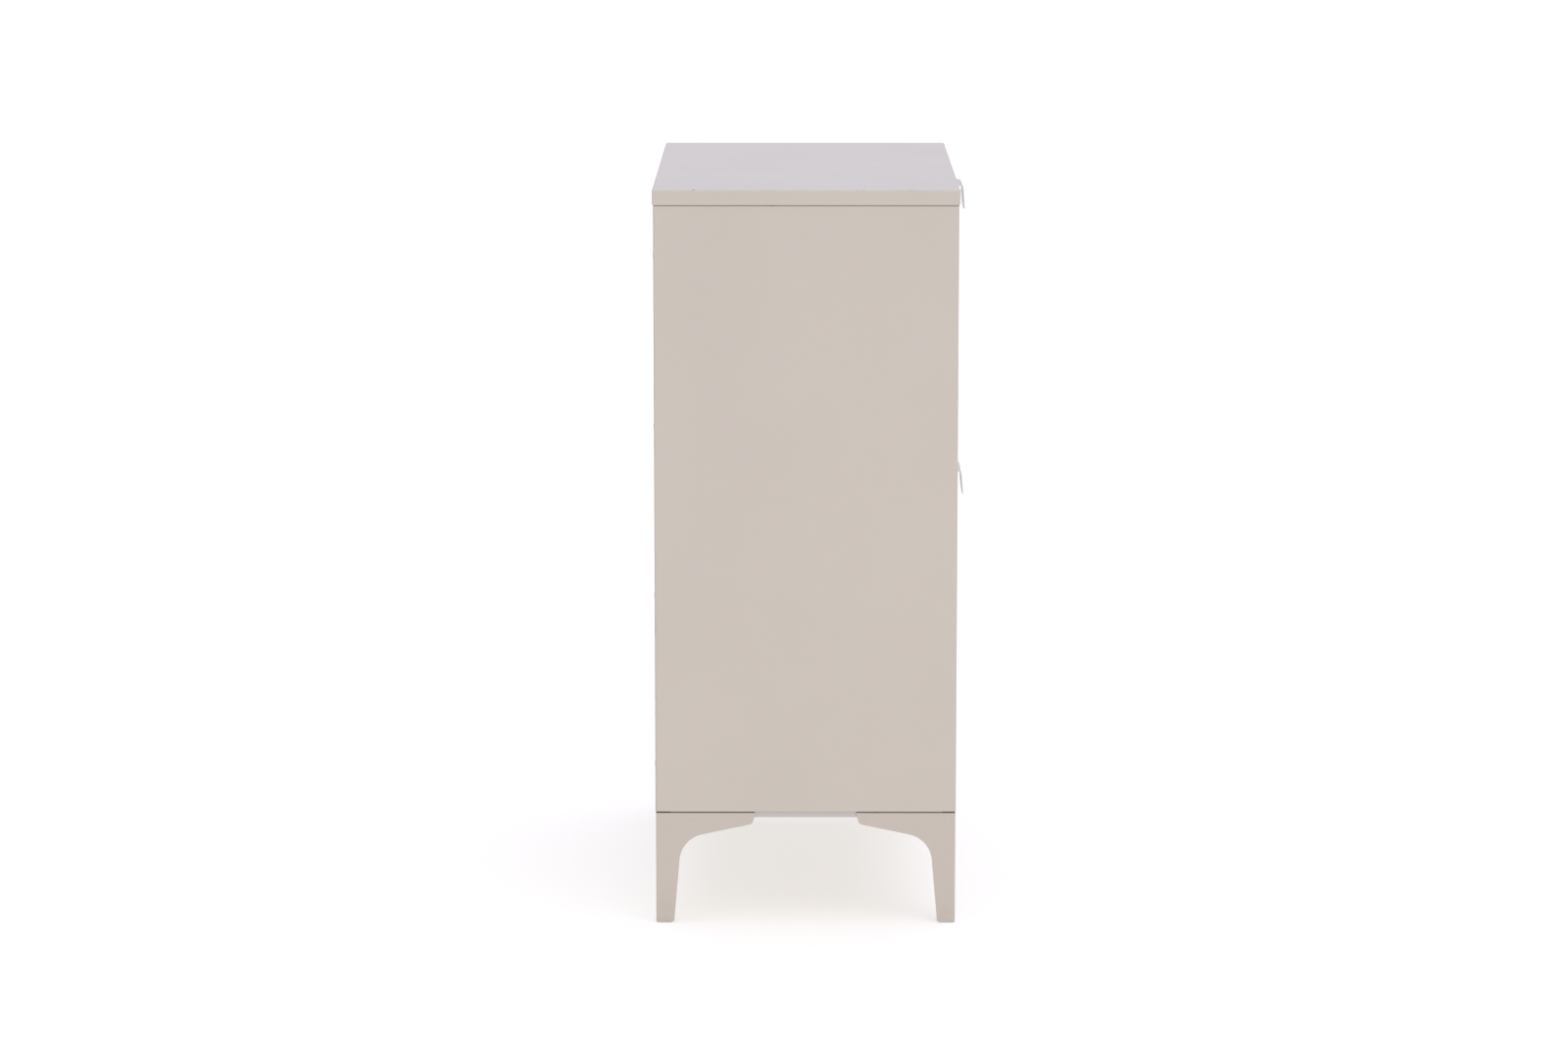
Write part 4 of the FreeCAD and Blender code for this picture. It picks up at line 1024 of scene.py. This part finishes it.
class CABINET_OT_paint(bpy.types.Operator):
    """Powder-coats every sheet of the carcass, the legs and the drawers"""

    bl_idname = "cabinet.paint"
    bl_label = "Paint the Sheet Metal"

    def execute(self, context):
        finish = context.scene.cabinet_finish
        outer = ["top_cap", "side_panel_left", "side_panel_right", "back_panel"]
        outer += [f"drawer_front_{drawer}" for drawer in DRAWERS]
        cap_low, cap_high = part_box("top_cap")
        spots = {"top_cap": (cap_low.x, cap_high.y - finish.chip_from_back, cap_high.z)}
        for node in outer:
            wear(node, painted(f"paint_{node}", finish.paint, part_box(node), chip=spots.get(node)))
        for corner in CORNERS:
            node = f"leg_{corner}"
            wear(node, painted(f"paint_{node}", finish.leg_paint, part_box(node), dust=0.06))
        sill_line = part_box("side_panel_left")[0].z
        wear("base_pan", painted("paint_base_pan", finish.paint, gloss=0.45, bare_below=sill_line))
        inside = ["cap_channels", "front_rail_top", "front_rail_middle"]
        for drawer in DRAWERS:
            parts = ("front_liner", "tray_floor", "tray_back", "file_rails")
            inside += [f"{part}_{drawer}" for part in parts]
            for side, _ in SIDES:
                inside += [f"tray_side_{drawer}_{side}", f"runner_bracket_{drawer}_{side}"]
        for node in inside:
            wear(node, tray_paint())
        return {"FINISHED"}


class CABINET_OT_runners(bpy.types.Operator):
    """Plates the runners and their cages and polishes their balls"""

    bl_idname = "cabinet.runners"
    bl_label = "Plate the Runners"

    def execute(self, context):
        zinc = context.scene.cabinet_finish.zinc
        track = material("zinc_track", brushed, zinc, DRAWN_ALONG_Y, 0.68)
        cage = material("cage_steel", brushed, (0.42, 0.43, 0.45), TUMBLED_CAGE, 0.60)
        ball = material("ball_steel", brushed, (0.66, 0.66, 0.67), TUMBLED_BALL, 0.90)
        for drawer in DRAWERS:
            for side, _ in SIDES:
                for member in ("outer", "middle", "inner"):
                    wear(f"runner_{member}_{drawer}_{side}", track)
            for stage in ("outer", "inner"):
                wear(f"ball_cage_{stage}_{drawer}", cage)
                wear(f"balls_{stage}_{drawer}", ball)
        return {"FINISHED"}


class CABINET_OT_pulls(bpy.types.Operator):
    """Folds the two satin metal pulls"""

    bl_idname = "cabinet.pulls"
    bl_label = "Fold the Pulls"

    def execute(self, context):
        finish = context.scene.cabinet_finish
        satin = material("satin_metal", brushed, finish.satin, DRAWN_ALONG_X, 0.82)
        for drawer in DRAWERS:
            mesh = pull_mesh(drawer, context.scene.cabinet_pull)
            body = f"{drawer}_drawer"
            piece_from(f"pull_{drawer}_sheet", mesh, satin, body, (f"pull_{drawer}",))
        return {"FINISHED"}


class CABINET_OT_screws(bpy.types.Operator):
    """Turns the plain pins into screws, bolts and rivets with real heads"""

    bl_idname = "cabinet.screws"
    bl_label = "Drive the Screws"

    def execute(self, context):
        zinc = plated_screw()
        fitted(["back_screws"], "panel_screws", 1, "cross", "cabinet", zinc)
        fitted(["cap_screws"], "panel_screws", 2, "cross", "cabinet", zinc)
        fitted(["socket_bolts"], "leg_bolts", 2, "hexagon", "cabinet", zinc)
        for drawer in DRAWERS:
            node, body = f"drawer_screws_{drawer}", f"{drawer}_drawer"
            names = [f"pull_screws_{drawer}", f"tray_screws_{drawer}"]
            fitted(names, node, 1, "cross", body, zinc)
            fitted([f"tray_rivets_{drawer}"], node, 0, "plain", body, zinc)
        wear("weld_nuts", zinc)
        wear("runner_rivets", zinc)
        return {"FINISHED"}


def weld_row(start, end, facing, pitch):
    """Evenly spaced spot welds from one place to another."""
    start, end = Vector(start), Vector(end)
    count = max(1, round((end - start).length / pitch))
    return [(start.lerp(end, i / count), Vector(facing)) for i in range(count + 1)]


class CABINET_OT_welds(bpy.types.Operator):
    """Marks the spot welds of the trays and the drawer fronts under their paint"""

    bl_idname = "cabinet.welds"
    bl_label = "Spot-weld the Drawers"

    def execute(self, context):
        fittings = context.scene.cabinet_fittings
        tree = style_tree("plain")
        values = {
            "Head Radius": fittings.weld_radius,
            "Head Height": fittings.weld_height,
            "Dome": 0.3,
            "Shank Radius": fittings.weld_radius / 2,
            "Shank Length": fittings.weld_height,
            "Seed": 3,
        }
        in_from_edge = 0.007
        for drawer in DRAWERS:
            seats = []
            liner_low, liner_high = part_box(f"front_liner_{drawer}")
            low = liner_low + Vector((in_from_edge, 0, in_from_edge))
            high = liner_high - Vector((in_from_edge, 0, in_from_edge))
            back = liner_high.y
            for x in (low.x, high.x):
                seats += weld_row((x, back, low.z), (x, back, high.z), (0, 1, 0), fittings.weld_pitch)
            seats += weld_row((low.x, back, low.z), (high.x, back, low.z), (0, 1, 0), fittings.weld_pitch)
            for side, way in SIDES:
                side_low, side_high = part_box(f"tray_side_{drawer}_{side}")
                face = side_low.x if way < 0 else side_high.x
                z = side_low.z + in_from_edge
                ends = (side_low.y + 2 * in_from_edge, side_high.y - 2 * in_from_edge)
                seats += weld_row((face, ends[0], z), (face, ends[1], z), (way, 0, 0), fittings.weld_pitch)
            back_low, back_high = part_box(f"tray_back_{drawer}")
            for x in (back_low.x + in_from_edge, back_high.x - in_from_edge):
                start = (x, back_high.y, back_low.z + 2 * in_from_edge)
                end = (x, back_high.y, back_high.z - 2 * in_from_edge)
                seats += weld_row(start, end, (0, 1, 0), fittings.weld_pitch)
            name = f"spot_welds_{drawer}"
            mesh = fasteners(name, tree, seats, values, tray_paint())
            piece_from(name, mesh, tray_paint(), f"{drawer}_drawer")
        return {"FINISHED"}


class CABINET_OT_clips(bpy.types.Operator):
    """Moulds the saddles that hold the ends of the hanging-file rails"""

    bl_idname = "cabinet.clips"
    bl_label = "Clip the File Rails"

    def execute(self, context):
        length = context.scene.cabinet_fittings.clip_length
        cheek, slot, floor = 3.6 * MILLI, 1.2 * MILLI, 3 * MILLI
        play = 0.3 * MILLI
        past_end = 0.1 * MILLI
        rail = 2 * MILLI
        grey = material("clip_plastic", moulded, (0.19, 0.19, 0.20))
        rounding = {"width": 0.5 * MILLI, "segments": 3, "limit_method": "ANGLE"}
        for drawer in DRAWERS:
            low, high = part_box(f"file_rails_{drawer}")

            def build(bm):
                for y in (low.y + rail / 2, high.y - rail / 2):
                    for way in (-1, 1):
                        start = high.x if way > 0 else low.x
                        top, under = high.z - play, low.z - play
                        outline = [
                            (-slot - cheek, top), (-slot, top), (-slot, under), (slot, under),
                            (slot, top), (slot + cheek, top), (slot + cheek, under - floor),
                            (-slot - cheek, under - floor),
                        ]
                        prism(
                            bm, outline,
                            lambda p, end: (start - way * (past_end + end * length), y + p[0], p[1]),
                        )

            blank = mesh_from(build, f"rail_clip_blanks_{drawer}")
            mesh = settled(blank, f"rail_clips_{drawer}", ("BEVEL", rounding))
            piece_from(f"rail_clips_{drawer}", mesh, grey, f"{drawer}_drawer")
        return {"FINISHED"}


class CABINET_OT_levers(bpy.types.Operator):
    """Moulds the release levers that lie inside the runners' inner members"""

    bl_idname = "cabinet.levers"
    bl_label = "Fit the Release Levers"

    def execute(self, context):
        length = context.scene.cabinet_fittings.lever_length
        black = material("lever_plastic", moulded, (0.025, 0.025, 0.028))
        boss, tail, thick = 6.2 * MILLI, 2.6 * MILLI, 2.8 * MILLI
        from_front, off_web, tip = 14 * MILLI, 1.6 * MILLI, 1.5 * MILLI
        arc = [math.radians(a) for a in range(40, 321, 20)]
        rounding = {"width": 0.5 * MILLI, "segments": 2, "limit_method": "ANGLE"}
        for drawer in DRAWERS:
            for side, way in SIDES:
                low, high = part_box(f"runner_inner_{drawer}_{side}")
                web = low.x if way > 0 else high.x
                middle = (low.z + high.z) / 2
                start = low.y + from_front
                end = start + length
                outline = [(start + boss * (1 + math.cos(a)), boss * math.sin(a)) for a in arc]
                outline += [(end, -tail), (end + tip, 0.0), (end, tail)]

                def build(bm):
                    inner = web + way * off_web
                    prism(bm, outline, lambda p, face: (inner + way * face * thick, p[0], middle + p[1]))

                name = f"release_lever_{drawer}_{side}"
                blank = mesh_from(build, name + "_blank")
                mesh = settled(blank, name, ("BEVEL", rounding))
                piece_from(name, mesh, black, f"{drawer}_drawer")
        return {"FINISHED"}


class CABINET_OT_stops(bpy.types.Operator):
    """Moulds the foot pads and the rubber stops that the drawers close on"""

    bl_idname = "cabinet.stops"
    bl_label = "Fit Pads and Stops"

    def execute(self, context):
        rubber = material("stop_rubber", moulded, (0.030, 0.030, 0.032))
        collar = context.scene.cabinet_fittings.stop_collar
        nose_share = 0.72
        steps = 6
        rounds = [math.pi / 2 * i / steps for i in range(1, steps)]

        def build(bm):
            for points in solids_of("frame_bumpers"):
                low, high = points_box(points)
                radius = (high.x - low.x) / 2
                nose = radius * nose_share
                middle = Vector(((low.x + high.x) / 2, high.y, (low.z + high.z) / 2))
                reach = high.y - low.y - collar
                outline = [(radius, 0), (radius, collar), (nose, collar)]
                outline += [(nose * math.cos(a), collar + reach * math.sin(a)) for a in rounds]
                turned(bm, middle, Vector((0, -1, 0)), outline, collar + reach)

        blank = mesh_from(build, "drawer_stop_blanks")
        corners = math.radians(50)
        rounding = {"width": 0.2 * MILLI, "segments": 2, "limit_method": "ANGLE", "angle_limit": corners}
        mesh = settled(blank, "drawer_stops", ("BEVEL", rounding))
        piece_from("drawer_stops", mesh, rubber, "cabinet", ("frame_bumpers",))
        plastic = material("pad_plastic", moulded, (0.055, 0.055, 0.058))
        wear("foot_pads", plastic)
        return {"FINISHED"}


class CABINET_OT_gap_shade(bpy.types.Operator):
    """Lays a dark strip in the gap above each leg, painted shade that makes the gap read as dark as its
    shadow
    """

    bl_idname = "cabinet.beads"
    bl_label = "Lay the Leg Beads"

    def execute(self, context):
        # A near-black strip in each gap above a leg: painted shade standing in for the deep shadow there.
        rubber = material("bead_rubber", moulded, (0.045, 0.042, 0.040))
        behind = context.scene.cabinet_fittings.shade_strip_set_back
        width = 0.8 * MILLI
        rounding = {"width": 0.3 * MILLI, "segments": 2, "limit_method": "ANGLE"}
        body_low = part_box("side_panel_left")[0].z
        for corner in CORNERS:
            low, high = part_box(f"leg_{corner}")
            across = 1 if "left" in corner else -1
            along = 1 if "front" in corner else -1
            x = low.x if across > 0 else high.x
            y = low.y if along > 0 else high.y
            reach = min(high.x - low.x, high.y - low.y) - width

            def build(bm):
                inner = behind + width
                outline = [
                    (behind, behind), (reach, behind), (reach, inner),
                    (inner, inner), (inner, reach), (behind, reach),
                ]
                heights = (high.z, body_low)
                prism(bm, outline, lambda p, end: (x + across * p[0], y + along * p[1], heights[end]))

            blank = mesh_from(build, f"leg_bead_{corner}_blank")
            mesh = settled(blank, f"leg_bead_{corner}", ("BEVEL", rounding))
            piece_from(f"leg_bead_{corner}", mesh, rubber, "cabinet")
        return {"FINISHED"}


class CABINET_OT_stage(bpy.types.Operator):
    """Lays the pale floor and sets the soft light and the camera"""

    bl_idname = "cabinet.stage"
    bl_label = "Set the Stage"

    def execute(self, context):
        stage = context.scene.cabinet_stage
        self.lay_floor(stage.bounce)
        self.light_sky(stage.sky)
        for name, strength, *look in SUNS:
            self.add_sun(name, getattr(stage, strength), *look)
        self.place_camera(stage)
        context.scene.view_settings.view_transform = "Standard"
        return {"FINISHED"}

    def lay_floor(self, glow):
        reach, blotches_per_metre = 120.0, 3.0
        deeper, paler, glow_tint = (0.534, 0.513, 0.453), (0.546, 0.525, 0.465), (0.994, 0.984, 1.0)
        mesh = bpy.data.meshes.new("studio_floor")
        corners = [(-reach, -reach, 0), (reach, -reach, 0), (reach, reach, 0), (-reach, reach, 0)]
        mesh.from_pydata(corners, [], [(0, 1, 2, 3)])
        made, tree, shader, place = new_material("pale_floor")
        mottle = noise(tree, place, blotches_per_metre, 4.0)
        colour = mix_colours(tree, mottle, opaque(deeper), opaque(paler))
        tree.links.new(colour, shader.inputs["Base Color"])
        tree.links.new(spread(tree, mottle, 0.75, 0.85), shader.inputs["Roughness"])
        shader.inputs["Emission Color"].default_value = opaque(glow_tint)
        shader.inputs["Emission Strength"].default_value = glow
        mesh.materials.append(made)
        floor = bpy.data.objects.new("studio_floor", mesh)
        bpy.context.scene.collection.objects.link(floor)

    def light_sky(self, strength):
        world = bpy.data.worlds.new("studio_sky")
        world.use_nodes = True
        tree = world.node_tree
        sky = tree.nodes["Background"]
        sky.inputs["Color"].default_value = (1.0, 1.0, 1.0, 1)
        seen = tree.nodes.new("ShaderNodeLightPath").outputs["Is Camera Ray"]
        tree.links.new(remap(tree, seen, 0.0, 1.0, strength, 1.0), sky.inputs["Strength"])
        bpy.context.scene.world = world

    def add_sun(self, name, strength, colour, towards, softness):
        data = bpy.data.lights.new(name, "SUN")
        data.color = colour
        data.energy = strength
        data.angle = math.radians(softness)
        sun = bpy.data.objects.new(name, data)
        sun.rotation_euler = Vector(towards).to_track_quat("Z", "Y").to_euler()
        bpy.context.scene.collection.objects.link(sun)

    def place_camera(self, stage):
        side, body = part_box("side_panel_left")
        data = bpy.data.cameras.new("camera")
        data.lens = stage.lens
        data.sensor_width = 36.0
        data.clip_end = 400.0
        camera = bpy.data.objects.new("camera", data)
        middle = (side.y + body.y) / 2
        camera.location = (side.x - stage.eye_distance, middle + stage.eye_offset, stage.eye_height)
        camera.rotation_euler = (math.pi / 2 - stage.pitch, 0, -math.pi / 2 + stage.yaw)
        bpy.context.scene.collection.objects.link(camera)
        bpy.context.scene.camera = camera


# ---------------------------------------------------------------- panel and registration


OPERATORS = (
    CABINET_OT_paint,
    CABINET_OT_runners,
    CABINET_OT_pulls,
    CABINET_OT_screws,
    CABINET_OT_welds,
    CABINET_OT_clips,
    CABINET_OT_levers,
    CABINET_OT_stops,
    CABINET_OT_gap_shade,
    CABINET_OT_stage,
)
SETTINGS = {
    "cabinet_finish": FinishSettings,
    "cabinet_pull": PullSettings,
    "cabinet_fittings": FittingSettings,
    "cabinet_stage": StageSettings,
}


class CABINET_PT_sidebar(bpy.types.Panel):
    """Lists the cabinet's steps and sizes"""

    bl_idname = "CABINET_PT_sidebar"
    bl_label = "Filing Cabinet"
    bl_space_type = "VIEW_3D"
    bl_region_type = "UI"
    bl_category = "Cabinet"

    def draw(self, context):
        steps = self.layout.column(align=True)
        for operator in OPERATORS:
            steps.operator(operator.bl_idname)
        for name, group in SETTINGS.items():
            box = self.layout.box()
            box.label(text=group.__doc__)
            for label in group.__annotations__:
                box.prop(getattr(context.scene, name), label)


def register():
    for group in (*SETTINGS.values(), *OPERATORS, CABINET_PT_sidebar):
        bpy.utils.register_class(group)
    for name, group in SETTINGS.items():
        setattr(bpy.types.Scene, name, bpy.props.PointerProperty(type=group))


def unregister():
    for name in SETTINGS:
        delattr(bpy.types.Scene, name)
    for group in reversed((*SETTINGS.values(), *OPERATORS, CABINET_PT_sidebar)):
        bpy.utils.unregister_class(group)


def main():
    register()
    for operator in OPERATORS:
        area, step = operator.bl_idname.split(".")
        getattr(getattr(bpy.ops, area), step)()


if __name__ == "__main__":
    main()
